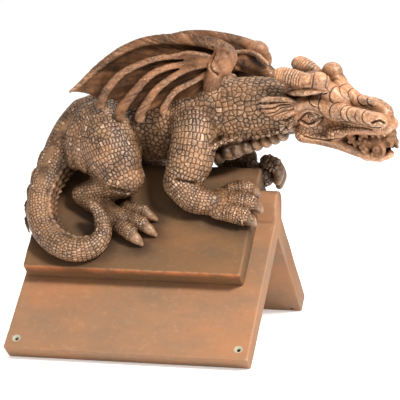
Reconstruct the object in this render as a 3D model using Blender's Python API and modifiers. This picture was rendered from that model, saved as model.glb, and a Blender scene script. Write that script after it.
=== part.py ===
"""Dragon roof sculpture: a dragon crouching on a stepped ridge tile, on a saddle that fits over a roof ridge.

Metres, +Z up, +X along the ridge toward the head, -Y the near slope. The figure's own points are
written in parts of its length, measured from the right-hand end of the tile's ridge line.
"""
import math

import bmesh
import bpy
from mathutils import Matrix, Vector

# Saddle: two boards in an inverted V with a rounded crest
saddle_length = 0.250
saddle_pitch = math.radians(38.0)
board_slant = 0.2034
board_thickness = 0.0236
board_end_set_back = 0.0070
foot_flat = 0.0030
crest_half_width = 0.0170
crest_height = 0.0176
crest_shoulder = 0.0150
edge_round = 0.0012

# Screw holes through the lower corners of the boards
hole_diameter = 0.0040
rim_diameter = 0.0075
rim_depth = 0.0012
hole_from_end = 0.0110
hole_from_edge = 0.0129

# Stepped ridge tile over the saddle
tile_slant = 0.1152
tile_lower_thickness = 0.0237
tile_apex_height = 0.0416
tile_end_set_back = 0.0070
tile_left_inset = 0.0035
tile_right_inset = 0.0189
fit_gap = 0.0003

# Figure
figure_length = 0.3830
figure_parts = 383.0
figure_grid = 0.0022
figure_triangles = 7600

unit = figure_length / figure_parts

parts = bpy.data.collections.new("dragon_roof_sculpture")
cutters = bpy.data.collections.new("cutters")


def clear_scene():
    for ob in list(bpy.data.objects):
        bpy.data.objects.remove(ob, do_unlink=True)
    bpy.context.scene.collection.children.link(parts)
    bpy.context.scene.collection.children.link(cutters)


def material(name, colour, roughness):
    mat = bpy.data.materials.new(name)
    mat.use_nodes = True
    shader = mat.node_tree.nodes["Principled BSDF"]
    shader.inputs["Base Color"].default_value = (*colour, 1.0)
    shader.inputs["Roughness"].default_value = roughness
    return mat


def mesh_from(ob, name, collection, smooth=True):
    """Turn a curve or a mesh with modifiers into a plain welded mesh object in world place."""
    bpy.context.view_layer.update()
    graph = bpy.context.evaluated_depsgraph_get()
    mesh = bpy.data.meshes.new_from_object(ob.evaluated_get(graph))
    mesh.transform(ob.matrix_world)
    bm = bmesh.new()
    bm.from_mesh(mesh)
    bmesh.ops.remove_doubles(bm, verts=bm.verts, dist=0.00002)
    bmesh.ops.recalc_face_normals(bm, faces=bm.faces)
    for face in bm.faces:
        face.smooth = smooth
    bm.to_mesh(mesh)
    bm.free()
    bpy.data.objects.remove(ob, do_unlink=True)
    result = bpy.data.objects.new(name, mesh)
    collection.objects.link(result)
    return result


def cut(ob, cutter):
    cutter.hide_render = True
    cutter.display_type = "WIRE"
    step = ob.modifiers.new("cut " + cutter.name, "BOOLEAN")
    step.operation = "DIFFERENCE"
    step.solver = "EXACT"
    step.object = cutter


# Boards and tile

def down_slope(side):
    return Vector((0.0, side * math.cos(saddle_pitch), -math.sin(saddle_pitch)))


def off_slope(side):
    return Vector((0.0, side * math.sin(saddle_pitch), math.cos(saddle_pitch)))


def ridge_prism(name, half_outline, start, end, collection):
    """Extrude a section that is the same on both sides of the ridge; half_outline is its -Y half."""
    far_half = [(-y, z) for y, z in reversed(half_outline) if abs(y) > 1e-6]
    outline = half_outline + far_half
    curve = bpy.data.curves.new(name, "CURVE")
    curve.dimensions = "2D"
    curve.fill_mode = "BOTH"
    curve.extrude = (end - start) / 2
    line = curve.splines.new("POLY")
    line.points.add(len(outline) - 1)
    for point, (y, z) in zip(line.points, outline):
        point.co = (y, z, 0.0, 1.0)
    line.use_cyclic_u = True
    ob = bpy.data.objects.new(name, curve)
    across_up_along = Matrix(((0, 0, 1), (1, 0, 0), (0, 1, 0))).to_4x4()
    ob.matrix_world = Matrix.Translation(((start + end) / 2, 0, 0)) @ across_up_along
    bpy.context.scene.collection.objects.link(ob)
    return mesh_from(ob, name, collection, smooth=False)


def tile_start():
    return -saddle_length / 2 + tile_left_inset


def tile_end():
    return saddle_length / 2 - tile_right_inset


def crest_side(grow):
    """The -Y half of the rounded crest, foot first, grown outward by a clearance."""
    half = crest_half_width + grow
    foot = (-half, -half * math.tan(saddle_pitch) + grow / math.cos(saddle_pitch))
    shoulder = crest_height - crest_shoulder
    side = [foot]
    steps = 5
    for i in range(steps + 1):
        turn = math.radians(90.0 * i / steps)
        y = -half * math.cos(turn)
        z = shoulder + (crest_shoulder + grow) * math.sin(turn)
        side.append((y, z))
    return side


def saddle_half():
    down, off = down_slope(-1), off_slope(-1)
    outer = down * board_slant
    inner = down * (board_slant - board_end_set_back) - off * board_thickness
    inner_apex = -board_thickness / math.cos(saddle_pitch)
    end_rise = (outer.z - inner.z) / (inner.y - outer.y)
    flat_height = foot_flat / (1 / end_rise + 1 / math.tan(saddle_pitch))
    flat_z = inner.z + flat_height
    flat_out = inner.y - flat_height / end_rise
    flat_in = inner.y + flat_height / math.tan(saddle_pitch)
    lower = [(0.0, inner_apex), (flat_in, flat_z), (flat_out, flat_z), (outer.y, outer.z)]
    return lower + crest_side(0.0)


def tile_outer_edge():
    return down_slope(-1) * tile_slant + off_slope(-1) * tile_lower_thickness


def tile_half():
    outer = tile_outer_edge()
    inner = down_slope(-1) * (tile_slant - tile_end_set_back) + off_slope(-1) * fit_gap
    upper = [(0.0, tile_apex_height), (outer.y, outer.z), (inner.y, inner.z)]
    return upper + crest_side(fit_gap)


def screw_hole(name, x, side):
    """A lathe profile with a shallow countersunk rim, turned about the hole's axis."""
    hole, rim = hole_diameter / 2, rim_diameter / 2
    below = -board_thickness - rim_depth
    profile = [(0, rim_depth), (2 * rim - hole, rim_depth), (hole, -rim_depth), (hole, below), (0, below)]
    mesh = bpy.data.meshes.new(name)
    edges = [(i, i + 1) for i in range(len(profile) - 1)]
    mesh.from_pydata([(r, 0.0, h) for r, h in profile], edges, [])
    ob = bpy.data.objects.new(name, mesh)
    bpy.context.scene.collection.objects.link(ob)
    lathe = ob.modifiers.new("lathe", "SCREW")
    lathe.steps = lathe.render_steps = 20
    lathe.use_merge_vertices = True
    lathe.merge_threshold = 0.00001
    down, off = down_slope(side), off_slope(side)
    axes = Matrix((Vector((1, 0, 0)), off.cross(Vector((1, 0, 0))), off)).transposed().to_4x4()
    place = down * (board_slant - hole_from_edge) + Vector((x, 0, 0))
    ob.matrix_world = Matrix.Translation(place) @ axes
    return mesh_from(ob, name, cutters)


def soften_edges(ob):
    step = ob.modifiers.new("worn edges", "BEVEL")
    step.width = edge_round
    step.segments = 1
    step.limit_method = "ANGLE"
    step.angle_limit = math.radians(45.0)


def make_saddle():
    saddle = ridge_prism("roof_saddle", saddle_half(), -saddle_length / 2, saddle_length / 2, parts)
    soften_edges(saddle)
    from_middle = saddle_length / 2 - hole_from_end
    for side, slope in ((-1, "near"), (1, "far")):
        for x, end in ((-from_middle, "left"), (from_middle, "right")):
            cut(saddle, screw_hole("hole_" + slope + "_" + end, x, side))
    saddle.data.materials.append(material("saddle_clay", (0.52, 0.27, 0.15), 0.75))


def make_tile():
    tile = ridge_prism("ridge_tile", tile_half(), tile_start(), tile_end(), parts)
    soften_edges(tile)
    tile.data.materials.append(material("tile_clay", (0.27, 0.15, 0.09), 0.7))


# Figure points

def at(x, y, z):
    """Along, across and above the right-hand end of the tile's ridge line."""
    return Vector((tile_end() + x * unit, y * unit, tile_apex_height + z * unit))


def tile_face(side):
    """The direction down one face of the tile and the direction straight off it."""
    outer = tile_outer_edge()
    down = Vector((0.0, side * -outer.y, outer.z - tile_apex_height)).normalized()
    off = Vector((0.0, -down.z * side, side * down.y))
    return down, off


def on_tile(x, down, height, side=-1):
    """Along the ridge, down the tile's face and off that face."""
    down_face, off_face = tile_face(side)
    return at(x, 0, 0) + (down_face * down + off_face * height) * unit


def head_axes():
    """Forward, toward the near side, and up, for a head turned and rolled toward the near side."""
    turn, roll, lift = math.radians(26.0), math.radians(16.0), math.radians(6.0)
    forward = Vector((math.cos(turn) * math.cos(lift), -math.sin(turn) * math.cos(lift), math.sin(lift)))
    level_side = Vector((-math.sin(turn), -math.cos(turn), 0.0))
    level_up = level_side.cross(forward)
    up = level_up * math.cos(roll) + level_side * math.sin(roll)
    near = level_side * math.cos(roll) - level_up * math.sin(roll)
    return forward, near, up


def in_head(forward, near, up):
    axis, side, top = head_axes()
    return at(33, -15, 60) + (axis * forward + side * near + top * up) * unit


# Clay: every form is added to one mesh, which a voxel remesh turns into one skin

clay = bmesh.new()


def add_mesh(mesh):
    clay.from_mesh(mesh)
    bpy.data.meshes.remove(mesh)


def ball(centre, radii, along=None, up=None):
    """An ellipsoid; its first radius lies along the given direction and its third toward up."""
    axes = Matrix.Identity(3)
    if along is not None:
        x = along.normalized()
        y = (up or Vector((0, 0, 1))).cross(x).normalized()
        axes = Matrix((x, y, x.cross(y))).transposed()
    place = Matrix.Translation(centre) @ axes.to_4x4()
    size = Matrix.Diagonal((radii[0] * unit, radii[1] * unit, radii[2] * unit, 1.0))
    bmesh.ops.create_uvsphere(clay, u_segments=20, v_segments=12, radius=1.0, matrix=place @ size)


def tube(stations):
    """A round limb through (point, radius) stations, with a ball at each end."""
    curve = bpy.data.curves.new("limb", "CURVE")
    curve.dimensions = "3D"
    curve.bevel_depth = unit
    curve.bevel_resolution = 4
    curve.resolution_u = 5
    curve.use_fill_caps = True
    line = curve.splines.new("BEZIER")
    line.bezier_points.add(len(stations) - 1)
    for knot, (place, radius) in zip(line.bezier_points, stations):
        knot.co = place
        knot.radius = radius
        knot.handle_left_type = knot.handle_right_type = "AUTO"
    ob = bpy.data.objects.new("limb", curve)
    bpy.context.scene.collection.objects.link(ob)
    limb = mesh_from(ob, "limb", cutters)
    mesh = limb.data
    bpy.data.objects.remove(limb, do_unlink=True)
    add_mesh(mesh)
    for place, radius in (stations[0], stations[-1]):
        ball(place, (radius, radius, radius))


def spread(line, count):
    """Evenly spaced points along a polyline."""
    reach = [0.0]
    for a, b in zip(line, line[1:]):
        reach.append(reach[-1] + (b - a).length)
    found = []
    for i in range(count):
        goal = reach[-1] * i / (count - 1)
        k = max(j for j in range(len(line) - 1) if reach[j] <= goal + 1e-9)
        share = (goal - reach[k]) / (reach[k + 1] - reach[k])
        found.append(line[k].lerp(line[k + 1], share))
    return found


def web(first, second, thickness, sag):
    """A thin skin lofted between two ribs, bowed toward sag in its middle."""
    along, across = 10, 5
    a, b = spread(first, along), spread(second, along)
    points = []
    for p, q in zip(a, b):
        for j in range(across):
            share = j / (across - 1)
            points.append(p.lerp(q, share) + sag * math.sin(math.pi * share))
    faces = []
    for i in range(along - 1):
        for j in range(across - 1):
            k = i * across + j
            faces.append((k, k + 1, k + across + 1, k + across))
    mesh = bpy.data.meshes.new("web")
    mesh.from_pydata(points, [], faces)
    ob = bpy.data.objects.new("web", mesh)
    bpy.context.scene.collection.objects.link(ob)
    skin = ob.modifiers.new("skin", "SOLIDIFY")
    skin.thickness = thickness * unit
    skin.offset = 0.0
    solid = mesh_from(ob, "web", cutters)
    mesh = solid.data
    bpy.data.objects.remove(solid, do_unlink=True)
    add_mesh(mesh)


# Body

def trunk_and_neck():
    spine = ((-182, 0, 38, 33), (-151, 0, 42, 37), (-116, -1, 42, 38), (-81, -3, 46, 40),
             (-54, -6, 51, 39), (-24, -8, 60, 34), (4, -12, 65, 31), (31, -15, 64, 27))
    tube([(at(x, y, z), r) for x, y, z, r in spine])
    ball(at(-36, -7, 36), (31, 28, 28))
    for i in range(7):
        share = i / 6
        low = at(-44 + 62 * share, -8 - 5 * share, 14 + 27 * share)
        ball(low, (10 - 3 * share, 17 - 4 * share, 8 - 2 * share), Vector((1, -0.2, 0.5)))


def tail():
    free = ((-176, 0, 42, 30), (-193, -4, 32, 27.5), (-206, -16, 12, 23.5), (-217, -32, -9, 17.5))
    lying = ((-222, 60, 13.5, 14), (-217, 88, 13, 13.5), (-202, 112, 12.5, 13), (-178, 126, 12, 12.2),
             (-156, 120, 10.5, 11), (-148, 103, 9, 9.5), (-152, 84, 8, 8), (-162, 68, 6.5, 5),
             (-168, 62, 5.5, 3))
    stations = [(at(x, y, z), r) for x, y, z, r in free]
    stations += [(on_tile(x, down, height), r) for x, down, height, r in lying]
    tube(stations)


def back_fins():
    ridge = ((-198, -2, 60), (-209, -6, 46), (-220, -12, 31), (-228, -20, 14), (-234, -31, -4),
             (-237, -43, -20), (-237, -54, -35))
    points = [at(*p) for p in ridge]
    for place, following in zip(points, points[1:]):
        ball(place, (9, 2.4, 6), following - place, Vector((-0.6, -0.6, 0.5)))


def toe(stations, side):
    placed = [(on_tile(x, down, height, side), r) for x, down, height, r in stations]
    tube(placed)


def hind_leg(side):
    thigh = ((-161, 25, 46, 26), (-152, 42, 30, 31), (-143, 50, 8, 29.5), (-133, 54, -6, 21.5))
    shin = ((-132, 54, -8, 19), (-154, 52, -18, 16), (-180, 48, -27, 11))
    for limb in (thigh, shin):
        tube([(at(x, side * y, z), r) for x, y, z, r in limb])
    toe(((-180, 55, 11, 10), (-152, 72, 10, 11), (-132, 84, 9, 11.5)), side)
    toe(((-130, 92, 9, 7.5), (-117, 102, 9, 7.5), (-109, 108, 4, 4)), side)
    toe(((-127, 80, 10, 7.5), (-109, 88, 9.5, 7.5), (-97, 95, 4, 4)), side)
    toe(((-127, 69, 10, 7), (-110, 72, 9, 7), (-99, 76, 4, 4)), side)


def near_foreleg():
    upper = ((-66, -20, 60, 24), (-62, -36, 46, 25), (-61, -46, 32, 23.5), (-65, -50, 10, 23.5),
             (-73, -52, -10, 19))
    lower = ((-73, -52, -11, 18), (-60, -53, -25, 16))
    tube([(at(x, y, z), r) for x, y, z, r in upper])
    forearm = [(at(x, y, z), r) for x, y, z, r in lower]
    tube(forearm + [(on_tile(-43, 59, 12), 13)])
    down, off = tile_face(-1)
    ball(on_tile(-27, 57, 10), (21, 22, 11), Vector((1, 0, 0)), off)
    toe(((-22, 42, 11, 8.5), (-6, 39, 11, 8), (2, 40, 5, 5)), -1)
    toe(((-18, 56, 12, 8.5), (0, 58, 11, 8), (8, 60, 4, 5)), -1)
    toe(((-20, 71, 10, 8.5), (-4, 75, 10, 8), (4, 78, 4, 5)), -1)


def far_foreleg():
    limb = ((-62, 26, 46, 22), (-50, 44, 24, 20), (-44, 48, 4, 17), (-24, 36, 4, 13))
    tube([(at(x, y, z), r) for x, y, z, r in limb])
    down, off = tile_face(1)
    ball(on_tile(-9, 30, 10, 1), (19, 17, 12), Vector((1, 0, 0)), off)
    for drop in (0, 1):
        knuckle = at(1, 19 + 11 * drop, 4 - 7 * drop)
        bend = at(13, 20 + 11 * drop, -1 - 6 * drop)
        tip = at(20, 21 + 10 * drop, -19 - 7 * drop)
        tube([(knuckle, 8), (bend, 7.5), (tip, 5)])


# Wings

def wing_lines():
    rim = ((-24, -46, 109), (-25, -46, 123), (-42, -46, 134), (-64, -48, 137), (-90, -50, 135),
           (-126, -52, 127), (-158, -53, 109), (-189, -53, 79))
    second = ((-50, -48, 116), (-87, -53, 117), (-119, -56, 106), (-140, -57, 88), (-156, -57, 67))
    third = ((-50, -48, 114), (-78, -54, 108), (-102, -58, 96), (-120, -59, 78), (-134, -58, 58))
    fourth = ((-51, -48, 111), (-71, -54, 98), (-95, -58, 80), (-113, -57, 58))
    fifth = ((-52, -47, 108), (-65, -51, 93), (-81, -54, 74), (-89, -54, 63))
    root = ((-50, -44, 102), (-53, -42, 90), (-63, -42, 80), (-80, -44, 71))
    return rim, second, third, fourth, fifth, root


def wing_place(side):
    """The near wing as written; the far one mirrored, carried forward and tipped up at the back."""
    if side < 0:
        return lambda p: at(*p)
    wrist = Vector((-25, 46, 125))
    tip_up = Matrix.Rotation(math.radians(10.0), 3, "Y")
    carried = Vector((17, 4, -11))

    def place(p):
        mirrored = Vector((p[0], -p[1], p[2]))
        return at(*(tip_up @ (mirrored - wrist) + wrist + carried))
    return place


def wing(side):
    place = wing_place(side)
    lines = [[place(p) for p in line] for line in wing_lines()]
    rim, ribs, root = lines[0], lines[1:5], lines[5]
    rim_radii = (4, 7, 7, 6.5, 6, 5, 4, 1.6)
    tube(list(zip(rim, rim_radii)))
    for rib in ribs:
        last = len(rib) - 1
        tube([(p, 2.5 + 2.5 * i / last) for i, p in enumerate(rib)])
    inward = Vector((0.0, -side * 3.5 * unit, 0.0))
    sheets = [rim[2:]] + ribs + [root]
    for first, second in zip(sheets, sheets[1:]):
        web(first, second, 3.6, inward)
    ball(place((-40, -46, 113)), (14, 8, 15))
    tube([(place((-40, -45, 105)), 11), (place((-43, -40, 88)), 11), (place((-47, -28, 70)), 15)])


def far_wing_fold():
    """The gathered skin between the far wing's wrist and the neck."""
    tube([(at(-30, 44, 104), 10), (at(-8, 30, 99), 9.5), (at(9, 14, 95), 8)])


# Head

def horns_and_ears(side):
    horn_tip = 50 if side > 0 else 47
    tube([(in_head(34, side * 18, 37), 10), (in_head(20, side * 22, 43), 9), (in_head(6, side * 23, horn_tip), 7)])
    ball(in_head(51, side * 14, 33), (13, 11, 12), in_head(1, 0, 0) - in_head(0, 0, 0))
    ball(in_head(63, side * 9, 15), (13, 10, 9), in_head(84, 0, 4) - in_head(60, 0, 16))
    ear = in_head(-11, side * 31, 23) - in_head(22, side * 25, 14)
    ball(in_head(7, side * 28, 17), (20, 4, 9), ear, in_head(0, 0, 1) - in_head(0, 0, 0))
    fin = in_head(64, side * 18, 26) - in_head(24, side * 24, 28)
    ball(in_head(43, side * 21, 27), (22, 5, 3.5), fin)


def head():
    forward, near, up = head_axes()
    ball(in_head(26, 0, 9), (33, 27, 29), forward, up)
    ball(in_head(46, 0, 12), (24, 22, 22), forward, up)
    ball(in_head(34, 0, -10), (28, 26, 18), forward, up)
    ball(in_head(35, 0, 28), (20, 20, 16), forward, up)
    tube([(in_head(56, 0, 2), 20), (in_head(84, 0, -6), 16.5), (in_head(110, 0, -13), 13)])
    for side in (-1, 1):
        tube([(in_head(68, side * 10, 4), 12), (in_head(96, side * 11, -2), 10), (in_head(115, side * 9, -9), 9.5)])
        tube([(in_head(26, side * 16, -17), 12), (in_head(62, side * 13, -29), 9), (in_head(98, side * 7, -43), 7)])
        horns_and_ears(side)
    ball(in_head(108, 0, -19), (16, 15, 8), forward, up)
    ball(in_head(90, 0, -43), (26, 12, 10), forward, up)
    ball(in_head(105, 0, -40), (13, 10, 9), forward, up)
    ball(in_head(70, 0, -22), (20, 15, 14), forward, up)
    ball(in_head(98, 0, -30), (19, 9, 9), forward, up)


def make_dragon(resting_space):
    trunk_and_neck()
    tail()
    back_fins()
    for side in (-1, 1):
        hind_leg(side)
        wing(side)
    near_foreleg()
    far_foreleg()
    far_wing_fold()
    head()
    mesh = bpy.data.meshes.new("dragon")
    clay.to_mesh(mesh)
    clay.free()
    dragon = bpy.data.objects.new("dragon", mesh)
    parts.objects.link(dragon)
    skin = dragon.modifiers.new("one skin", "REMESH")
    skin.mode = "VOXEL"
    skin.voxel_size = figure_grid
    soft = dragon.modifiers.new("soft", "SMOOTH")
    soft.iterations = 3
    soft.factor = 0.5
    dragon = mesh_from(dragon, "dragon", parts)
    lighten = dragon.modifiers.new("facets", "DECIMATE")
    lighten.ratio = figure_triangles / (2 * len(dragon.data.polygons))
    cut(dragon, resting_space)
    dragon.data.materials.append(material("dragon_clay", (0.19, 0.11, 0.07), 0.55))


def make_resting_space():
    """The room kept clear for the tile: its outer form and one clearance."""
    edge = tile_outer_edge()
    down, off = tile_face(-1)
    top = tile_apex_height + fit_gap / off.z
    low = Vector((0, edge.y, edge.z)) + (down + off) * fit_gap
    half = [(0.0, top), (low.y, low.z), (low.y, low.z - tile_lower_thickness), (0.0, low.z - tile_lower_thickness)]
    return ridge_prism("tile_room", half, tile_start() - fit_gap, tile_end() + fit_gap, cutters)


def stand_on_origin():
    """Put the middle of the underside of the whole sculpture at the world's origin."""
    bpy.context.view_layer.update()
    graph = bpy.context.evaluated_depsgraph_get()
    low, high = Vector((9, 9, 9)), Vector((-9, -9, -9))
    for ob in parts.objects:
        solid = ob.evaluated_get(graph).to_mesh()
        for vert in solid.vertices:
            place = ob.matrix_world @ vert.co
            low = Vector(map(min, low, place))
            high = Vector(map(max, high, place))
    shift = Vector(((low.x + high.x) / 2, (low.y + high.y) / 2, low.z))
    for ob in list(parts.objects) + list(cutters.objects):
        ob.location -= shift


def main():
    clear_scene()
    make_saddle()
    make_tile()
    make_dragon(make_resting_space())
    stand_on_origin()


main()
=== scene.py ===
"""Looks of the dragon roof sculpture: the carved dragon, the hewn ridge tile and the worn saddle.

Everything is in metres in the CAD frame. The figure's points are in parts of its length, measured
along, across and above the right-hand end of the tile's ridge line.
"""
import math
import random

import bmesh
import bpy
import numpy as np
from mathutils import Matrix, Vector, noise
from mathutils.bvhtree import BVHTree
from mathutils.kdtree import KDTree


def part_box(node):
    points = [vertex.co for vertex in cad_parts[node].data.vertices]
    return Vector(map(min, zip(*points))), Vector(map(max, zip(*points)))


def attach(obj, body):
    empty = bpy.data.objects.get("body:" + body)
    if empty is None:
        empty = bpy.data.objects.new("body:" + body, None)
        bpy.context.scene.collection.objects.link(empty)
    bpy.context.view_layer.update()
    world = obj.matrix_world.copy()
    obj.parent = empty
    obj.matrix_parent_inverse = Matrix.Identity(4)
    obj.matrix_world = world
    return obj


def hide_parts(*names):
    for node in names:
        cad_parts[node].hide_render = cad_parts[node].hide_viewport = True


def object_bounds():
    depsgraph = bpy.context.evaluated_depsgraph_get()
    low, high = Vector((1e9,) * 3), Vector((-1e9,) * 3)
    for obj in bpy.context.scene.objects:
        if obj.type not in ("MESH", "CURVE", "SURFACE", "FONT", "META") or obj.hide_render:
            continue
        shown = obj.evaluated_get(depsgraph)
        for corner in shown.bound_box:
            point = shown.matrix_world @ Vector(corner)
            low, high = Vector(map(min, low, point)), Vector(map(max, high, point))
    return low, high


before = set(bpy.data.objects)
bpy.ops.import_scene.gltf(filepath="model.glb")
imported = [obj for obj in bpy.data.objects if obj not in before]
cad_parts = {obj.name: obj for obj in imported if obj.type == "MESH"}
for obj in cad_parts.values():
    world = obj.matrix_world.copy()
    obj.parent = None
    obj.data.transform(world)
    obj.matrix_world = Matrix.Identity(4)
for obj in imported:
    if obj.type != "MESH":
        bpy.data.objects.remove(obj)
cad_low, cad_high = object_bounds()
tile_low, tile_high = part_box("ridge_tile")
saddle_low, saddle_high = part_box("roof_saddle")

# Sizes shared with the solids
saddle_pitch = math.radians(38.0)
board_slant = 0.2034
tile_slant = 0.1152
tile_lower_thickness = 0.0237
tile_apex_height = 0.0416
hole_from_end = 0.0110
hole_from_edge = 0.0129
fit_gap = 0.0003
figure_length = 0.3830
figure_parts = 383.0
unit = figure_length / figure_parts

# Heights in the frame: the boards' sharp outer ridge line, and the tile's
ridge_above_feet = 0.13839
ridge_z = saddle_low.z + ridge_above_feet
tile_ridge_z = ridge_z + tile_apex_height
middle_y = (saddle_low.y + saddle_high.y) / 2

# Grain of the meshes: the voxels of the remeshes in metres, and the triangles kept
flesh_voxel = 0.0017
body_voxel = 0.00086
wing_voxel = 0.0009
skull_voxel = 0.0012
head_voxel = 0.00062
coarse = 1.0
body_triangles = 380000
wing_triangles = 90000
head_triangles = 170000

# Share of a row's scales left out at first, which breaks the rows up
missing_share = 0.13

# Kinds of surface on the figure
SCALES, WING, CLAW, HORN, PLATE, MOUTH, EYE = range(7)

chance = random.Random(7)

# Colours of the figure: painted shade deep in folds, dark wash that also carries painted shade at some
# places, body, warmer patches, pale dry-brushing and painted highlights
scale_colours = ((0.005, 0.003, 0.0015), (0.030, 0.0135, 0.006), (0.150, 0.082, 0.040),
                 (0.245, 0.115, 0.050), (0.72, 0.50, 0.34))
hide_colours = ((0.008, 0.004, 0.002), (0.038, 0.017, 0.008), (0.205, 0.092, 0.042),
                (0.37, 0.155, 0.062), (0.86, 0.60, 0.40))
wing_colours = ((0.008, 0.004, 0.002), (0.026, 0.012, 0.006), (0.165, 0.070, 0.031),
                (0.33, 0.135, 0.054), (0.72, 0.45, 0.28))

# Colours of the base: pits, grime and painted shadow, body, warmer clouds, pale patches, worn rims and edges
tile_colours = ((0.025, 0.012, 0.006), (0.090, 0.056, 0.030), (0.160, 0.077, 0.033),
                (0.25, 0.145, 0.082), (0.36, 0.125, 0.048))
saddle_colours = ((0.08, 0.036, 0.018), (0.188, 0.112, 0.064), (0.285, 0.130, 0.061),
                  (0.40, 0.235, 0.135), (0.30, 0.30, 0.22))


# Figure points

def at(x, y, z):
    """A point in the figure's own measures."""
    return Vector((tile_high.x + x * unit, middle_y + y * unit, tile_ridge_z + z * unit))


def tile_face(side):
    """The direction down one face of the tile and the direction straight off it."""
    y = -math.cos(saddle_pitch) * tile_slant - math.sin(saddle_pitch) * tile_lower_thickness
    z = -math.sin(saddle_pitch) * tile_slant + math.cos(saddle_pitch) * tile_lower_thickness
    down = Vector((0.0, side * -y, z - tile_apex_height)).normalized()
    return down, Vector((0.0, -down.z * side, side * down.y))


def on_tile(x, down, height, side=-1):
    """A point some way down one face of the tile and some height off it."""
    down_face, off_face = tile_face(side)
    return at(x, 0, 0) + (down_face * down + off_face * height) * unit


def head_axes():
    """Forward, toward the near side, and up, for a head turned and rolled toward the near side."""
    turn, roll, lift = math.radians(26.0), math.radians(16.0), math.radians(6.0)
    forward = Vector((math.cos(turn) * math.cos(lift), -math.sin(turn) * math.cos(lift), math.sin(lift)))
    level_side = Vector((-math.sin(turn), -math.cos(turn), 0.0))
    level_up = level_side.cross(forward)
    up = level_up * math.cos(roll) + level_side * math.sin(roll)
    near = level_side * math.cos(roll) - level_up * math.sin(roll)
    return forward, near, up


head_root = at(33, -15, 60)


def in_head(forward, near, up):
    """A point in the head's own measures."""
    axis, side, top = head_axes()
    return head_root + (axis * forward + side * near + top * up) * unit


# Clay: closed forms gathered in one mesh, each face marked with its kind of surface

class Clay:
    """Points and faces of closed forms, which may overlap."""

    def __init__(self):
        self.points, self.faces, self.kinds = [], [], []

    def add(self, points, faces, kind):
        start = len(self.points)
        self.points += [tuple(p) for p in points]
        self.faces += [tuple(start + i for i in face) for face in faces]
        self.kinds += [kind] * len(faces)


def ring_faces(rings, sides):
    """Quads between rings of points, and a fan to the pole before the first and after the last."""
    faces = []
    for j in range(rings - 1):
        for i in range(sides):
            k = (i + 1) % sides
            faces.append((j * sides + i, j * sides + k, (j + 1) * sides + k, (j + 1) * sides + i))
    first, last = rings * sides, rings * sides + 1
    for i in range(sides):
        k = (i + 1) % sides
        faces.append((k, i, first))
        faces.append(((rings - 1) * sides + i, (rings - 1) * sides + k, last))
    return faces


def ball(clay, centre, radii, kind, along=None, up=None, sides=24, rings=13):
    """An ellipsoid; its first radius lies along the given direction and its third toward up."""
    x = (along or Vector((1, 0, 0))).normalized()
    y = (up or Vector((0, 0, 1))).cross(x).normalized()
    z = x.cross(y)
    size = Vector(radii) * unit
    points = []
    for j in range(1, rings + 1):
        polar = math.pi * j / (rings + 1)
        for i in range(sides):
            turn = 2 * math.pi * i / sides
            ring = math.sin(polar)
            points.append(centre - x * size.x * math.cos(polar) + y * size.y * ring * math.cos(turn)
                          + z * size.z * ring * math.sin(turn))
    points += [centre - x * size.x, centre + x * size.x]
    clay.add(points, ring_faces(rings, sides), kind)


def smooth_line(stations, step):
    """A smooth line through (point, radius) stations, as rows of x, y, z, radius in metres."""
    rows = np.array([[*point, radius * unit] for point, radius in stations])
    padded = np.vstack([2 * rows[0] - rows[1], rows, 2 * rows[-1] - rows[-2]])
    found = []
    for a, b, c, d in zip(padded, padded[1:], padded[2:], padded[3:]):
        count = max(2, int(np.linalg.norm((c - b)[:3]) / step) + 1)
        for t in np.arange(count) / count:
            found.append(0.5 * (2 * b + (c - a) * t + (2 * a - 5 * b + 4 * c - d) * t * t
                                + (3 * b - 3 * c + d - a) * t ** 3))
    found.append(rows[-1])
    return np.array(found)


def frames_along(centres, across=None):
    """A tangent and two cross directions at each point of a line."""
    found = []
    guide = Vector(across) if across is not None else None
    for i in range(len(centres)):
        ahead = centres[min(i + 1, len(centres) - 1)] - centres[max(i - 1, 0)]
        tangent = Vector(ahead).normalized()
        if guide is None:
            guide = tangent.orthogonal()
        flat = (guide - tangent * guide.dot(tangent)).normalized()
        if across is None:
            guide = flat
        found.append((tangent, flat, tangent.cross(flat)))
    return found


def tube(clay, stations, kind, sides=20, wide=1.0, across=None):
    """A limb through (point, radius) stations with round ends, wider by a factor in one direction."""
    thinnest = 0.0001
    line = smooth_line(stations, 2.0 * unit)
    line[:, 3] = np.maximum(line[:, 3], thinnest)
    frames = frames_along(line[:, :3], across)
    cap = [math.radians(turn) for turn in (25, 50, 75)]
    rings = [(0, -math.sin(angle), math.cos(angle)) for angle in reversed(cap)]
    rings += [(i, 0.0, 1.0) for i in range(len(line))]
    rings += [(len(line) - 1, math.sin(angle), math.cos(angle)) for angle in cap]
    points = []
    for i, push, share in rings:
        tangent, flat, other = frames[i]
        radius = line[i, 3]
        centre = Vector(line[i, :3]) + tangent * (push * radius)
        for k in range(sides):
            turn = 2 * math.pi * k / sides
            points.append(centre + flat * (radius * share * wide * math.cos(turn))
                          + other * (radius * share * math.sin(turn)))
    points.append(Vector(line[0, :3]) - frames[0][0] * line[0, 3])
    points.append(Vector(line[-1, :3]) + frames[-1][0] * line[-1, 3])
    clay.add(points, ring_faces(len(rings), sides), kind)


def spread(line, count):
    """Evenly spaced points along a polyline."""
    reach = [0.0]
    for a, b in zip(line, line[1:]):
        reach.append(reach[-1] + (b - a).length)
    found = []
    for i in range(count):
        goal = reach[-1] * i / (count - 1)
        k = max(j for j in range(len(line) - 1) if reach[j] <= goal + 1e-9)
        share = (goal - reach[k]) / (reach[k + 1] - reach[k])
        found.append(line[k].lerp(line[k + 1], share))
    return found


def curved(points, step=3.0):
    """The polyline's smooth version, as a list of points."""
    return [Vector(row[:3]) for row in smooth_line([(p, 1.0) for p in points], step * unit)]


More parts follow.
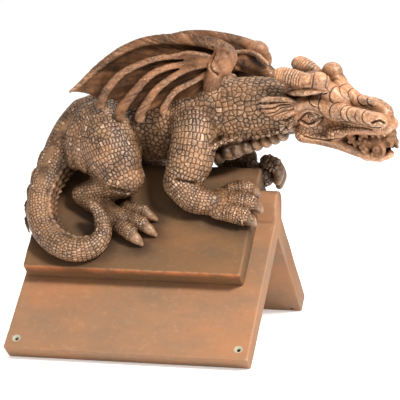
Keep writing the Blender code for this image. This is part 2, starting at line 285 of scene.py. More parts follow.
def sheet(clay, first, second, thickness, sag, kind, scallop=0.0, along=36, across=11):
    """A thin closed skin between two lines, bowed by sag in its middle, its far end cut back in an arc."""
    fine = 8
    a, b = spread(first, along * fine), spread(second, along * fine)
    middle = []
    for i in range(along):
        for j in range(across):
            share = j / (across - 1)
            arc = math.sin(math.pi * share)
            k = round((along * fine - 1) * i / (along - 1) * (1 - scallop * arc))
            middle.append(a[k].lerp(b[k], share) + sag * arc)
    off = (a[-1] - a[0]).cross(b[len(b) // 2] - a[len(a) // 2]).normalized() * (thickness * unit / 2)
    points = [p + off for p in middle] + [p - off for p in middle]
    count = len(middle)
    faces = []
    for i in range(along - 1):
        for j in range(across - 1):
            k = i * across + j
            quad = (k, k + 1, k + across + 1, k + across)
            faces.append(quad)
            faces.append(tuple(count + n for n in reversed(quad)))
    border = list(range(across)) + [i * across + across - 1 for i in range(1, along)]
    border += [(along - 1) * across + j for j in range(across - 2, -1, -1)]
    border += [i * across for i in range(along - 2, 0, -1)]
    for m, n in zip(border, border[1:] + border[:1]):
        faces.append((n, m, count + m, count + n))
    clay.add(points, faces, kind)


# Skins: one closed quad mesh round the clay, held as arrays

class Skin:
    """A quad mesh as arrays, with its edges found once for smoothing."""

    def __init__(self, points, quads):
        self.points = points
        self.quads = quads
        pairs = np.vstack([quads[:, [0, 1]], quads[:, [1, 2]], quads[:, [2, 3]], quads[:, [3, 0]]])
        pairs.sort(axis=1)
        self.edges = np.unique(pairs, axis=0)
        ends = self.edges.ravel()
        self.degree = np.bincount(ends, minlength=len(points)).astype(float)

    def push(self, amounts, normals=None):
        """Move each point along its normal by its own amount in metres."""
        normals = self.normals() if normals is None else normals
        self.points = self.points + normals * amounts[:, None]

    def neighbours_mean(self, values):
        a, b = self.edges[:, 0], self.edges[:, 1]
        total = np.zeros_like(values)
        for axis in range(values.shape[1]):
            total[:, axis] = np.bincount(a, weights=values[b, axis], minlength=len(values))
            total[:, axis] += np.bincount(b, weights=values[a, axis], minlength=len(values))
        return total / self.degree[:, None]

    def relaxed(self, values, rounds, share=0.5):
        flat = values.ndim == 1
        values = values[:, None] if flat else values
        for _ in range(rounds):
            values = values + share * (self.neighbours_mean(values) - values)
        return values[:, 0] if flat else values

    def normals(self):
        a, b, c, d = (self.points[self.quads[:, i]] for i in range(4))
        face = np.cross(c - a, d - b)
        total = np.zeros_like(self.points)
        for axis in range(3):
            for corner in range(4):
                total[:, axis] += np.bincount(self.quads[:, corner], weights=face[:, axis],
                                              minlength=len(self.points))
        return total / np.maximum(np.linalg.norm(total, axis=1), 1e-12)[:, None]

    def hollow(self, rounds):
        """How far each point lies below its smoothed surroundings, in metres."""
        return np.einsum("ij,ij->i", self.relaxed(self.points, rounds) - self.points, self.normals())


def plain_object(name, points, faces):
    """An object made straight from points and faces."""
    mesh = bpy.data.meshes.new(name)
    mesh.from_pydata(points, [], faces)
    ob = bpy.data.objects.new(name, mesh)
    bpy.context.scene.collection.objects.link(ob)
    return ob


def evaluated_copy(ob):
    """The object's mesh with its modifiers applied; the object itself goes."""
    bpy.context.view_layer.update()
    graph = bpy.context.evaluated_depsgraph_get()
    mesh = bpy.data.meshes.new_from_object(ob.evaluated_get(graph))
    bpy.data.objects.remove(ob, do_unlink=True)
    return mesh


def fuse(clay, voxel):
    """A voxel remesh of the clay's forms, as a Skin."""
    ob = plain_object("forms", clay.points, clay.faces)
    step = ob.modifiers.new("one skin", "REMESH")
    step.mode = "VOXEL"
    step.voxel_size = voxel * coarse
    mesh = evaluated_copy(ob)
    co = np.empty(len(mesh.vertices) * 3, np.float32)
    mesh.vertices.foreach_get("co", co)
    quads = np.empty(len(mesh.loops), np.int32)
    mesh.loops.foreach_get("vertex_index", quads)
    bpy.data.meshes.remove(mesh)
    return Skin(co.reshape(-1, 3).astype(float), quads.reshape(-1, 4))


def clay_of(skin, kind):
    """A skin taken back as clay, for crisp parts to be set on."""
    clay = Clay()
    clay.add(skin.points, [tuple(quad) for quad in skin.quads.tolist()], kind)
    return clay


def tree_of(points, faces):
    """A search tree for the nearest place on a surface."""
    return BVHTree.FromPolygons([Vector(p) for p in points], [list(map(int, f)) for f in faces])


def tree_of_points(points):
    """A search tree for the nearest of some points."""
    tree = KDTree(len(points))
    for i, point in enumerate(points):
        tree.insert(point, i)
    tree.balance()
    return tree


def kinds_on(skin, clay):
    """Each skin point takes the kind of the clay face it lies on."""
    tree = tree_of(clay.points, clay.faces)
    kinds = np.zeros(len(skin.points), np.int32)
    for i, point in enumerate(skin.points):
        hit = tree.find_nearest(point)
        kinds[i] = clay.kinds[hit[2]] if hit[2] is not None else SCALES
    return kinds


# Figure data, the same forms as the solid

spine = ((-182, 0, 38, 33), (-151, 0, 42, 37), (-116, -1, 42, 38), (-81, -3, 46, 40),
         (-54, -6, 51, 39), (-24, -8, 60, 34), (4, -12, 65, 31), (31, -15, 64, 27))
tail_free = ((-176, 0, 42, 30), (-193, -4, 32, 27.5), (-206, -16, 12, 23.5), (-217, -32, -9, 17.5))
tail_lying = ((-222, 60, 13.5, 14), (-217, 88, 13, 13.5), (-202, 112, 12.5, 13), (-178, 126, 12, 12.2),
              (-157, 123, 11, 11), (-147, 108, 13, 9.8), (-148, 96, 18, 8.4), (-152.5, 87, 24, 7),
              (-158, 82, 28, 5.2))
tail_loop_middle = (-186, 88, 12)
back_ridge = ((-198, -2, 60), (-209, -6, 46), (-220, -12, 31), (-228, -20, 14), (-234, -31, -4),
              (-237, -43, -20), (-237, -54, -35), (-236, -62, -51), (-231, -69, -66))
thigh = ((-161, 25, 46, 26), (-152, 42, 30, 31), (-143, 50, 8, 29.5), (-133, 54, -6, 21.5))
shin = ((-132, 54, -8, 19), (-154, 52, -18, 16), (-180, 48, -27, 11))
hind_foot = ((-180, 55, 11, 10), (-152, 72, 10, 11), (-132, 84, 9, 11.5))
hind_toes = (((-134, 89, 10, 8), (-126, 95, 10, 8), (-118, 101, 9, 7.5)),
             ((-130, 79, 10, 8), (-120, 84, 10, 8), (-108, 88.5, 9.5, 7.5)),
             ((-130, 68, 10, 7.5), (-120, 70, 10, 7.5), (-110, 72, 9, 7)))
hind_claws = (((-119, 101, 8.5, 6.4), (-112, 106, 7, 5.4), (-107, 109, 3, 2.6)),
              ((-109, 88.5, 9, 6.4), (-101, 93, 7, 5.4), (-95, 96, 3, 2.6)),
              ((-111, 72, 9, 6.2), (-104, 74.5, 6.5, 5.2), (-98, 76, 3, 2.6)))
near_upper = ((-66, -20, 60, 24), (-62, -36, 46, 25), (-61, -46, 32, 23.5), (-65, -50, 10, 23.5),
              (-73, -52, -10, 19))
near_elbow = ((-73, -52, -11, 18), (-60, -53, -25, 16))
near_wrist = (-43, 59, 12, 13)
near_toes = (((-24, 43, 13, 9.3), (-14, 40.5, 13.5, 9.3), (-6, 39, 12, 8.8)),
             ((-20, 57, 14, 9.3), (-8, 57.5, 14, 9.3), (0, 58, 12, 8.8)),
             ((-22, 70, 11, 9.3), (-12, 73, 12, 9.3), (-4, 75, 11, 8.8)))
near_claws = (((-6, 39, 10.5, 7), (0, 39.5, 8.5, 6.2), (3, 40, 4.5, 4)),
              ((0, 58, 10.5, 7), (6, 59, 8.5, 6.2), (8.5, 60, 4.5, 4)),
              ((-4, 75, 9.5, 7), (2, 77, 8, 6.2), (4.5, 78, 4.5, 4)))
far_limb = ((-62, 26, 46, 22), (-50, 44, 24, 20), (-44, 48, 4, 17), (-24, 36, 4, 13))

# The near wing's lines; the far wing's are these mirrored and carried
rim = ((-25, -47, 104), (-22, -47, 120), (-34, -47, 130), (-54, -48, 134.5), (-75, -49, 136),
       (-95, -50, 135.5), (-116, -51, 131.5), (-137, -52, 122), (-159, -53, 106), (-180, -53, 87),
       (-190, -53, 80))
rim_radii = (3, 6.5, 6.5, 6, 5.6, 5.2, 4.8, 4.4, 3.8, 2.6, 1.2)
ribs = (((-45, -50, 119), (-89, -54, 118), (-116, -55, 110), (-137, -57, 98), (-152, -57, 79),
         (-156, -57, 68)),
        ((-45, -50, 115), (-82, -55, 109), (-103, -57, 100), (-118, -58, 85), (-133, -58, 66),
         (-136, -58, 58)),
        ((-45, -49, 111), (-66, -53, 106), (-84, -56, 96), (-100, -58, 82), (-113, -57, 63),
         (-115, -57, 56)),
        ((-46, -47, 103), (-58, -50, 95), (-78, -54, 84), (-89, -54, 69), (-91, -54, 63)))
rib_radius = 3.0
rib_tip_radii = (5.8, 7.0, 5.8, 4.6)
short_rib = ((-48, -51, 121), (-64, -53, 123), (-76, -54, 121), (-98, -54, 116))
wing_root = ((-42, -45, 90), (-52, -45, 84), (-62, -46, 77), (-81, -47, 72), (-90, -49, 62))
neck_lobes = ((-40, -22, 15), (-25, -24, 21), (-6, -17, 26), (10, -17, 31), (27, -23, 38))
neck_ledge = ((-44, -58, 26), (-38, -48, 29), (-30, -35, 32), (-12, -27, 35), (5, -25, 38),
              (26, -31, 44), (38, -33, 48))
fold_lines = (((-35, 40, 116), (-22, 38, 116), (-9, 24, 114), (3, 14, 107)),
              ((-34, 40, 108), (-20, 37, 107), (-4, 24, 104), (7, 13, 97)),
              ((-35, 40, 99), (-21, 37, 97), (-6, 24, 94), (7, 12, 89)))
knob_crease = ((-41, -56, 126), (-43.5, -56, 116), (-40, -56, 106), (-33, -56, 101))
knob_crest = ((-31, -47, 120), (-33, -47, 106), (-42, -46, 90))
keel = ((-167, -20, 71), (-181, -30, 61), (-198, -28, 46), (-213, -33, 27), (-220, -42, 7),
        (-222, -56, -12))
body_folds = (((-74, -72, -5), (-64, -71, -7), (-55, -65, -9)),
              ((-142, -70, -14), (-133, -70, -17), (-124, -66, -20)))
hip = ((-170, -26, 44, 25), (-183, -33, 26, 19), (-187, -38, 8, 12))
shoulder = ((-42, 43, 85, 9), (-46, 36, 76, 14), (-54, 26, 64, 20))


def placed(stations, side=1):
    """Stations given along, across, above."""
    return [(at(x, side * y, z), r) for x, y, z, r in stations]


def laid(stations, side=-1):
    """Stations given along, down the tile's face, off it."""
    return [(on_tile(x, down, height, side), r) for x, down, height, r in stations]


def headed(stations, side=1):
    """Stations given forward, toward the near side, up in the head; mirrored for side -1."""
    return [(in_head(forward, side * near, up), r) for forward, near, up, r in stations]


def scaled_limbs():
    """Every scaled limb, finest scales first: stations, spacing of the scales, their length to width."""
    limbs = []
    for side in (-1, 1):
        limbs += [(laid(toe, side), 2.5, 1.0) for toe in hind_toes]
        limbs.append((laid(hind_foot, side), 2.9, 1.0))
    limbs += [(laid(toe), 2.5, 1.0) for toe in near_toes]
    limbs.append((placed(near_elbow) + laid((near_wrist,)), 3.2, 1.15))
    limbs.append((placed(tail_free) + laid(tail_lying), 3.3, 1.2))
    for side in (-1, 1):
        limbs.append((placed(shin, side), 3.1, 1.3))
    limbs.append((placed(near_upper), 4.1, 1.25))
    limbs.append((placed(far_limb), 3.7, 1.25))
    for side in (-1, 1):
        limbs.append((placed(thigh, side), 3.5, 1.5))
    limbs.append((placed(spine), 5.0, 1.0))
    return limbs


# Body

def flesh():
    """The limbs and the swellings that join them."""
    clay = Clay()
    finest_limb = 2.6
    for stations, pitch, _ in scaled_limbs():
        if pitch > finest_limb:
            tube(clay, stations, SCALES, sides=28)
    ball(clay, at(-36, -7, 36), (31, 28, 28), SCALES)
    ball(clay, at(-136, -57, 12), (22, 19, 25), SCALES)
    ball(clay, at(-136, 57, 12), (22, 19, 25), SCALES)
    ball(clay, at(-170, -44, 20), (20, 23, 27), SCALES)
    ball(clay, at(-138, -59, 0), (23, 19, 25), SCALES)
    tube(clay, placed(hip), SCALES)
    for side in (-1, 1):
        tube(clay, placed(shoulder, side), SCALES)
    ball(clay, on_tile(-27, 57, 10), (21, 22, 11), SCALES, Vector((1, 0, 0)), tile_face(-1)[1])
    ball(clay, on_tile(-9, 30, 10, 1), (19, 17, 12), SCALES, Vector((1, 0, 0)), tile_face(1)[1])
    return clay


def ringed_toe(clay, stations):
    """A toe swollen into rings."""
    line = smooth_line(stations, 4.0 * unit)
    frames = frames_along(line[:, :3])
    for i, row in enumerate(line):
        radius = row[3] / unit
        radii = (3.0, radius * 1.06, radius * 1.06)
        ball(clay, Vector(row[:3]), radii, SCALES, frames[i][0], sides=20, rings=7)
    tube(clay, [(Vector(row[:3]), 0.88 * row[3] / unit) for row in line], SCALES)


def feet(clay):
    """Ringed toes and claws; the far hand's two fingers hang over the tile's end."""
    for side in (-1, 1):
        for toe, claw in zip(hind_toes, hind_claws):
            ringed_toe(clay, laid(toe, side))
            tube(clay, laid(claw, side), CLAW)
    for toe, claw in zip(near_toes, near_claws):
        ringed_toe(clay, laid(toe))
        tube(clay, laid(claw), CLAW)
    for drop in (0, 1):
        knuckle = at(2, 19 + 13 * drop, 4 - 6 * drop)
        bend = at(12, 20 + 13 * drop, -1 - 6 * drop)
        mid = at(14, 20.5 + 13 * drop, -8 - 6 * drop)
        tip = at(13, 21 + 12 * drop, -17 - 6 * drop)
        ringed_toe(clay, [(knuckle, 8.4), (bend, 8.2)])
        tube(clay, [(bend, 7.4), (mid, 6.8), (tip, 4.4)], CLAW)


def scutes(clay):
    """Rounded lobes under the neck, below a scalloped ledge along its near side."""
    lobes = spread(curved([at(*p) for p in neck_lobes]), 8)
    for n, middle in enumerate(lobes):
        size = 1 - 0.03 * n
        ball(clay, middle, (7.0 * size, 11 * size, 9.0 * size), PLATE, Vector((1, -0.2, 0.5)))
    ledge = spread(curved([at(*p) for p in neck_ledge]), 13)
    for n, middle in enumerate(ledge):
        ball(clay, middle, (5.6, 6.0, 3.4 + 1.2 * (n % 2)), SCALES, Vector((1, -0.1, 0.45)))


def leaf(clay, start, end, outward, height, kind, width=2.2):
    """A low pointed fin from start to end, its crest leaning outward."""
    along = end - start
    count = 9
    points = []
    side = along.cross(outward).normalized() * (width * unit)
    for i in range(count):
        share = i / (count - 1)
        rise = math.sin(math.pi * share ** 0.7) * height * unit
        foot = start + along * share
        wide = side * math.sin(math.pi * (0.08 + 0.84 * share))
        points += [foot + wide - outward * unit, foot + outward * rise, foot - wide - outward * unit]
    faces = []
    for i in range(count - 1):
        a, b = 3 * i, 3 * i + 3
        faces += [(a, a + 1, b + 1, b), (a + 1, a + 2, b + 2, b + 1), (a + 2, a, b, b + 2)]
    faces += [(2, 1, 0), (3 * count - 3, 3 * count - 2, 3 * count - 1)]
    clay.add(points, faces, kind)


def tail_fins(clay):
    """Low fins along the back of the tail, and a spike at the rump."""
    points = [at(*p) for p in back_ridge]
    outward = Vector((-0.75, -0.35, 0.55)).normalized()
    for place, following in zip(points, points[1:]):
        along = (following - place).normalized() * (2 * unit)
        leaf(clay, place - along, following + along, outward, 4.2, PLATE, 2.6)
    leaf(clay, at(-180, 0, 66), at(-203, 0, 58), Vector((-0.4, 0.0, 0.9)), 6.5, PLATE, 3.0)


def tail_teeth(clay):
    """Rounded scutes and pointed flaps along the inside of the tail's curl."""
    line = smooth_line(placed(tail_free) + laid(tail_lying), 2.0 * unit)
    middle = on_tile(*tail_loop_middle)
    off = tile_face(-1)[1]
    for i in range(16, len(line) - 26, 5):
        centre, radius = Vector(line[i, :3]), line[i, 3]
        along = Vector(line[i + 1, :3] - line[i - 1, :3]).normalized()
        inward = middle - centre
        inward = (inward - along * inward.dot(along)).normalized()
        foot = centre + inward * (radius * 0.88)
        leaf(clay, foot - along * (5.5 * unit), foot + along * (6.5 * unit), inward, 8.0, PLATE, 3.4)
        for lift in (3.5, 8.5):
            lump = centre + (inward * 0.86 + off * (lift / 14)).normalized() * (radius * 0.97)
            ball(clay, lump, (4.6, 3.6, 2.6), PLATE, along, inward.cross(along), sides=14, rings=9)


def wing_place(side):
    """The near wing as written; the far one mirrored, carried forward and tipped up at the back."""
    if side < 0:
        return lambda p: at(*p)
    wrist = Vector((-25, 46, 125))
    tip_up = Matrix.Rotation(math.radians(7.0), 3, "Y")
    carried = Vector((17, 4, -12))

    def place(p):
        mirrored = Vector((p[0], -p[1], p[2]))
        return at(*(tip_up @ (mirrored - wrist) + wrist + carried))
    return place


def wing_clay(side):
    """A rim, four ribs that swell to their tips, skin between them, and the wrist's knob and arm."""
    place = wing_place(side)
    clay = Clay()
    rim_line = [place(p) for p in rim]
    rib_lines = [[place(p) for p in rib] for rib in ribs]
    root_line = [place(p) for p in wing_root]
    inward = Vector((0.0, -side * unit, 0.0))
    tube(clay, list(zip(rim_line, rim_radii)), WING, sides=24)
    border = smooth_line(list(zip(rim_line[1:], rim_radii[1:])), 4 * unit)
    edge = []
    for row, (_, _, other) in zip(border, frames_along(border[:, :3], inward)):
        edge.append((Vector(row[:3]) - inward * 1.2 + other * (side * (row[3] - 1.1 * unit)), 1.5))
    tube(clay, edge, WING, sides=12)
    for rib, tip in zip(rib_lines, rib_tip_radii):
        last = len(rib) - 1
        stations = [(p, rib_radius + (tip - rib_radius) * (i / last) ** 1.4) for i, p in enumerate(rib)]
        tube(clay, stations, WING, wide=0.62, across=inward)
    tube(clay, [(place(p), r) for p, r in zip(short_rib, (2.4, 2.4, 2.2, 1.0))], WING)
    sheets = [rim_line[2:]] + rib_lines + [root_line]
    for n, (first, second) in enumerate(zip(sheets, sheets[1:])):
        scallop = 0.03 if n in (0, 4) else 0.085
        sheet(clay, curved(first), curved(second), 2.8, inward * 6.0, WING, scallop)
    ball(clay, place((-31, -47, 114)), (12.5, 9.5, 15), WING)
    ball(clay, place((-38, -51, 108)), (7.5, 6.5, 9.5), WING)
    tube(clay, [(place((-38, -47, 104)), 9), (place((-42, -46, 92)), 9.5), (place((-45, -42, 82)), 7)], WING)
    return clay


def far_wing_fold(clay):
    """The gathered skin between the far wing's wrist and the neck."""
    for line in fold_lines:
        tube(clay, [(at(*p), r) for p, r in zip(line, (2.6, 3.0, 2.9, 2.4))], WING)
    tube(clay, [(at(-32, 48, 106), 10), (at(-10, 34, 101), 10), (at(7, 18, 93), 8)], WING)
    ball(clay, at(-15, 48, 117), (13, 8, 11), WING)


def body_skin():
    """The flesh melted together first, so that limbs blend, then the crisp parts set on it."""
    soft = fuse(flesh(), flesh_voxel)
    soft.points = soft.relaxed(soft.points, 6)
    clay = clay_of(soft, SCALES)
    feet(clay)
    scutes(clay)
    tail_fins(clay)
    tail_teeth(clay)
    skin = fuse(clay, body_voxel)
    skin.points = skin.relaxed(skin.points, 1)
    return skin, kinds_on(skin, clay)


# Scales

class Seeds:
    """Points kept at least a gap apart, found quickly through a grid of cells."""

    def __init__(self):
        self.points, self.pitches, self.cells = [], [], {}
        self.cell = 0.006

    def key(self, p):
        return tuple(int(math.floor(v / self.cell)) for v in p)

    def clear_of(self, p, gap):
        i, j, k = self.key(p)
        for a in (i - 1, i, i + 1):
            for b in (j - 1, j, j + 1):
                for c in (k - 1, k, k + 1):
                    for q in self.cells.get((a, b, c), ()):
                        if (q - p).length_squared < gap * gap:
                            return False
        return True

    def offer(self, p, gap, pitch):
        if not self.clear_of(p, gap):
            return
        self.points.append(p)
        self.pitches.append(pitch)
        self.cells.setdefault(self.key(p), []).append(p)


def scale_rows(stations, pitch, length):
    """Seed points in rings round a limb, staggered where the scales are as long as wide."""
    line = smooth_line(stations, pitch * length * unit)
    frames = frames_along(line[:, :3])
    stagger = 0.5 if length == 1.0 else 0.0
    loose = 0.22 if length == 1.0 else 0.16
    found = []
    for i, row in enumerate(line):
        tangent, flat, other = frames[i]
        around = max(6, round(2 * math.pi * row[3] / (pitch * unit)))
        for k in range(around):
            if chance.random() < missing_share:
                continue
            turn = 2 * math.pi * (k + stagger * (i % 2) + chance.uniform(-loose, loose)) / around
            shift = tangent * (chance.uniform(-loose, loose) * pitch * unit)
            found.append(Vector(row[:3]) + shift + (flat * math.cos(turn) + other * math.sin(turn)) * row[3])
    return found


def scale_seeds(skin):
    """Seeds of the scales: rows along the limbs laid on the skin, then fillers in the gaps."""
    tree = tree_of(skin.points, skin.quads)
    seeds = Seeds()
    for stations, pitch, length in scaled_limbs():
        for point in scale_rows(stations, pitch, length):
            near = tree.find_nearest(point, 3.5 * unit)
            if near[0] is not None:
                seeds.offer(near[0], 0.70 * pitch * unit, pitch)
    in_rows = tree_of_points(seeds.points)
    picks = list(range(0, len(skin.points), 3))
    chance.shuffle(picks)
    for i in picks:
        point = Vector(skin.points[i])
        pitch = seeds.pitches[in_rows.find(point)[1]]
        seeds.offer(point, 1.12 * pitch * unit, pitch)
    return seeds


def crackle(points, seeds):
    """For each point: distance to the nearest border between two seeds' cells, distance to its own seed, and
    which seed.
    """
    tree = tree_of_points(seeds.points)
    edge, own, which = np.empty(len(points)), np.empty(len(points)), np.empty(len(points), np.int32)
    for i, point in enumerate(points):
        (p, a, d1), (q, _, d2) = tree.find_n(point, 2)
        edge[i] = (d2 * d2 - d1 * d1) / (2 * max((q - p).length, 1e-6))
        own[i], which[i] = d1, a
    return edge, own, which


def wander(points, size, seed=0.0):
    """Smooth noise between -1 and 1 with features of a given size in metres."""
    scale = 1.0 / size
    return np.array([noise.noise((p[0] * scale + seed, p[1] * scale, p[2] * scale)) for p in points])


def openness(skin, reach=0.05, samples=9000, rays=20):
    """How open to the air each point is: 1 on a free bulge, 0 deep in a fold. The colours paint shade where
    it is low.
    """
    golden_turn = 2.39996
    tree = tree_of(skin.points, skin.quads)
    normals = skin.normals()
    pick = np.random.default_rng(3).choice(len(skin.points), min(samples, len(skin.points)), replace=False)
    fan = []
    for k in range(rays):
        height = (k + 0.5) / rays
        ring = math.sqrt(1 - height * height)
        fan.append(Vector((ring * math.cos(k * golden_turn), ring * math.sin(k * golden_turn), height)))
    starts, value = [], []
    for i in pick:
        normal = Vector(normals[i])
        turn = normal.to_track_quat("Z", "X")
        start = Vector(skin.points[i]) + normal * 0.0006
        value.append(sum(tree.ray_cast(start, turn @ ray, reach)[0] is None for ray in fan) / rays)
        starts.append(start)
    nearby = tree_of_points(starts)
    result = np.empty(len(skin.points))
    for i, point in enumerate(skin.points):
        found = nearby.find_n(point, 3)
        weights = [1 / (away + 0.0004) for _, _, away in found]
        result[i] = sum(w * value[k] for w, (_, k, _) in zip(weights, found)) / sum(weights)
    return skin.relaxed(result, 6)


# Pieces

def lighten(points, quads, triangles):
    """The same surface with fewer triangles."""
    ob = plain_object("full", points.tolist(), quads.tolist())
    step = ob.modifiers.new("lighten", "DECIMATE")
    step.ratio = min(1.0, triangles / (2 * len(quads)))
    return evaluated_copy(ob)


def carry(mesh, points, values):
    """Give a lightened mesh the values of the nearest points of the full one."""
    tree = tree_of_points(points)
    nearest = [tree.find(vert.co)[1] for vert in mesh.vertices]
    for name, value in values.items():
        store = mesh.attributes.new(name, "FLOAT", "POINT")
        store.data.foreach_set("value", value[nearest].astype(np.float32))


def piece(name, mesh, mat, node):
    """A finished mesh as a piece of the sculpture, in place of its solid."""
    mesh.name = name
    mesh.materials.clear()
    mesh.materials.append(mat)
    mesh.polygons.foreach_set("use_smooth", [True] * len(mesh.polygons))
    ob = bpy.data.objects.new(name, mesh)
    bpy.context.scene.collection.objects.link(ob)
    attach(ob, "root")
    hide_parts(node)


def split_along(mesh, cut_x):
    """Two meshes from one, behind and ahead of a plane across the sculpture."""
    halves = []
    for ahead in (False, True):
        half = mesh.copy()
        bm = bmesh.new()
        bm.from_mesh(half)
        away = [f for f in bm.faces if (f.calc_center_median().x > cut_x) != ahead]
        bmesh.ops.delete(bm, geom=away, context="FACES")
        bm.to_mesh(half)
        bm.free()
        halves.append(half)
    return halves


def clear_of_tile(points):
    """Lift points out of the tile's form, by the shortest way, to one clearance off it."""
    ridge = np.array(at(0, 0, 0))
    depth = []
    ways = []
    for side in (-1, 1):
        off = np.array(tile_face(side)[1])
        depth.append(fit_gap - (points - ridge) @ off)
        ways.append(off)
    depth.append(tile_high.x + fit_gap - points[:, 0])
    ways.append(np.array((1.0, 0.0, 0.0)))
    depth.append(points[:, 0] - tile_low.x + fit_gap)
    ways.append(np.array((-1.0, 0.0, 0.0)))
    depth = np.array(depth)
    inside = (depth > 0).all(axis=0)
    least = depth.argmin(axis=0)
    moved = points.copy()
    for k, way in enumerate(ways):
        chosen = inside & (least == k)
        moved[chosen] += depth[k][chosen, None] * way
    return moved


def keep_in_box(points):
    """Points held just inside the solids' box."""
    edge = 0.0001
    return np.clip(points, np.array(cad_low) + edge, np.array(cad_high) - edge)


# Clay materials

def material(name):
    """A new material: its node tree and its shader."""
    mat = bpy.data.materials.new(name)
    mat.use_nodes = True
    tree = mat.node_tree
    tree.nodes.clear()
    out = tree.nodes.new("ShaderNodeOutputMaterial")
    shader = tree.nodes.new("ShaderNodeBsdfPrincipled")
    tree.links.new(shader.outputs["BSDF"], out.inputs["Surface"])
    return mat, tree, shader


def value_of(tree, name):
    """A value carried by the mesh, point by point."""
    node = tree.nodes.new("ShaderNodeAttribute")
    node.attribute_name = name
    return node.outputs["Fac"]


def texture(tree, scale, detail=4.0, roughness=0.6, stretch=None):
    """Noise in the sculpture's own metres; scale is features per metre."""
    place = tree.nodes.new("ShaderNodeTexCoord")
    node = tree.nodes.new("ShaderNodeTexNoise")
    node.inputs["Scale"].default_value = scale
    node.inputs["Detail"].default_value = detail
    node.inputs["Roughness"].default_value = roughness
    if stretch is None:
        tree.links.new(place.outputs["Object"], node.inputs["Vector"])
    else:
        pull = tree.nodes.new("ShaderNodeMapping")
        pull.inputs["Scale"].default_value = stretch
        tree.links.new(place.outputs["Object"], pull.inputs["Vector"])
        tree.links.new(pull.outputs["Vector"], node.inputs["Vector"])
    return node.outputs["Fac"]


def ramp(tree, source, low, high, start=0.0, end=1.0):
    """Map a value from low..high to start..end, held at the ends."""
    node = tree.nodes.new("ShaderNodeMapRange")
    node.inputs["From Min"].default_value = low
    node.inputs["From Max"].default_value = high
    node.inputs["To Min"].default_value = start
    node.inputs["To Max"].default_value = end
    tree.links.new(source, node.inputs["Value"])
    return node.outputs["Result"]


def reckon(tree, how, a, b):
    """Sum, product or greater of two values, each a number or a socket."""
    node = tree.nodes.new("ShaderNodeMath")
    node.operation = how
    for socket, value in zip(node.inputs, (a, b)):
        if isinstance(value, (int, float)):
            socket.default_value = value
        else:
            tree.links.new(value, socket)
    return node.outputs["Value"]


def blend(tree, share, first, second):
    """The first colour, giving way to the second by a share."""
    node = tree.nodes.new("ShaderNodeMix")
    node.data_type = "RGBA"
    for socket, value in ((node.inputs["Factor"], share), (node.inputs[6], first), (node.inputs[7], second)):
        if isinstance(value, tuple):
            socket.default_value = (*value, 1.0)
        elif isinstance(value, (int, float)):
            socket.default_value = value
        else:
            tree.links.new(value, socket)
    return node.outputs[2]


def grain(tree, shader, scale, strength, distance):
    """A fine roughness under the light, too small to model."""
    bump = tree.nodes.new("ShaderNodeBump")
    bump.inputs["Strength"].default_value = strength
    bump.inputs["Distance"].default_value = distance
    tree.links.new(texture(tree, scale, detail=6.0, roughness=0.65), bump.inputs["Height"])
    tree.links.new(bump.outputs["Normal"], shader.inputs["Normal"])


def figure_clay(name, colours, brushed):
    """Cast clay-coloured resin with a dark wash in its cuts and pale dry-brushing on its high points, painted
    shade deep in its folds and at some listed places, and painted highlights on a few scales.
    """
    deep, wash, body, warm, pale = colours
    mat, tree, shader = material(name)
    crack_and_shade, cell = value_of(tree, "crack_and_shade"), value_of(tree, "cell")
    hollow, air = value_of(tree, "hollow"), value_of(tree, "open")
    patches = ramp(tree, texture(tree, scale=30.0, detail=5.0), 0.40, 0.60)
    mottled = reckon(tree, "ADD", reckon(tree, "MULTIPLY", patches, 0.6), reckon(tree, "MULTIPLY", cell, 0.4))
    colour = blend(tree, mottled, body, warm)
    dusky = ramp(tree, texture(tree, scale=48.0, detail=6.0, roughness=0.7), 0.44, 0.62, 0.0, 0.85)
    colour = blend(tree, dusky, colour, wash)
    specks = ramp(tree, texture(tree, scale=420.0, detail=4.0, roughness=0.7), 0.45, 0.60, 0.15, 1.0)
    high = reckon(tree, "MULTIPLY", ramp(tree, hollow, brushed, brushed - 0.7), specks)
    colour = blend(tree, reckon(tree, "MULTIPLY", high, ramp(tree, air, 0.45, 0.90, 0.0, 0.9)), colour, pale)
    # Painted highlights: a few random scales on the high points turned pale, standing in for the shine of the
    # light on them.
    painted_glints = reckon(tree, "MULTIPLY", ramp(tree, cell, 0.94, 0.99), ramp(tree, hollow, 0.1, -0.3, 0.0, 0.38))
    colour = blend(tree, painted_glints, colour, pale)
    # Dark wash in the hollows and along the cut lines, together with the painted shade carried in the line
    # values.
    low = ramp(tree, hollow, 0.05, 0.55, 0.0, 0.85)
    wash_and_shade = reckon(tree, "MAXIMUM", low, reckon(tree, "MULTIPLY", crack_and_shade, 0.85))
    colour = blend(tree, wash_and_shade, colour, wash)
    # Painted shade: darkest where the point is least open, deep in folds, under the limbs and at the wing
    # roots. The sheen set below is lowered there as well.
    colour = blend(tree, ramp(tree, air, 0.80, 0.14), colour, deep)
    tree.links.new(colour, shader.inputs["Base Color"])
    rough = ramp(tree, wash_and_shade, 0.0, 1.0, 0.34, 0.75)
    tree.links.new(rough, shader.inputs["Roughness"])
    clean = ramp(tree, wash_and_shade, 0.0, 0.8, 0.34, 0.04)
    gloss = reckon(tree, "MULTIPLY", clean, ramp(tree, air, 0.3, 0.8, 0.1, 1.0))
    tree.links.new(gloss, shader.inputs["Specular IOR Level"])
    grain(tree, shader, scale=650.0, strength=0.5, distance=0.0006)
    return mat


def shadow_under_dragon(points):
    """Painted shadow: most where a board lies close under the dragon, falling to 0 a few fingers' width away.
    """
    solid = cad_forms("dragon")
    tree = tree_of(solid.points, solid.faces)
    reach = 0.040
    away = np.array([(tree.find_nearest(point, reach)[3] or reach) for point in points])
    return np.exp(-(away / 0.011) ** 2) + 0.35 * np.exp(-(away / 0.024) ** 2)


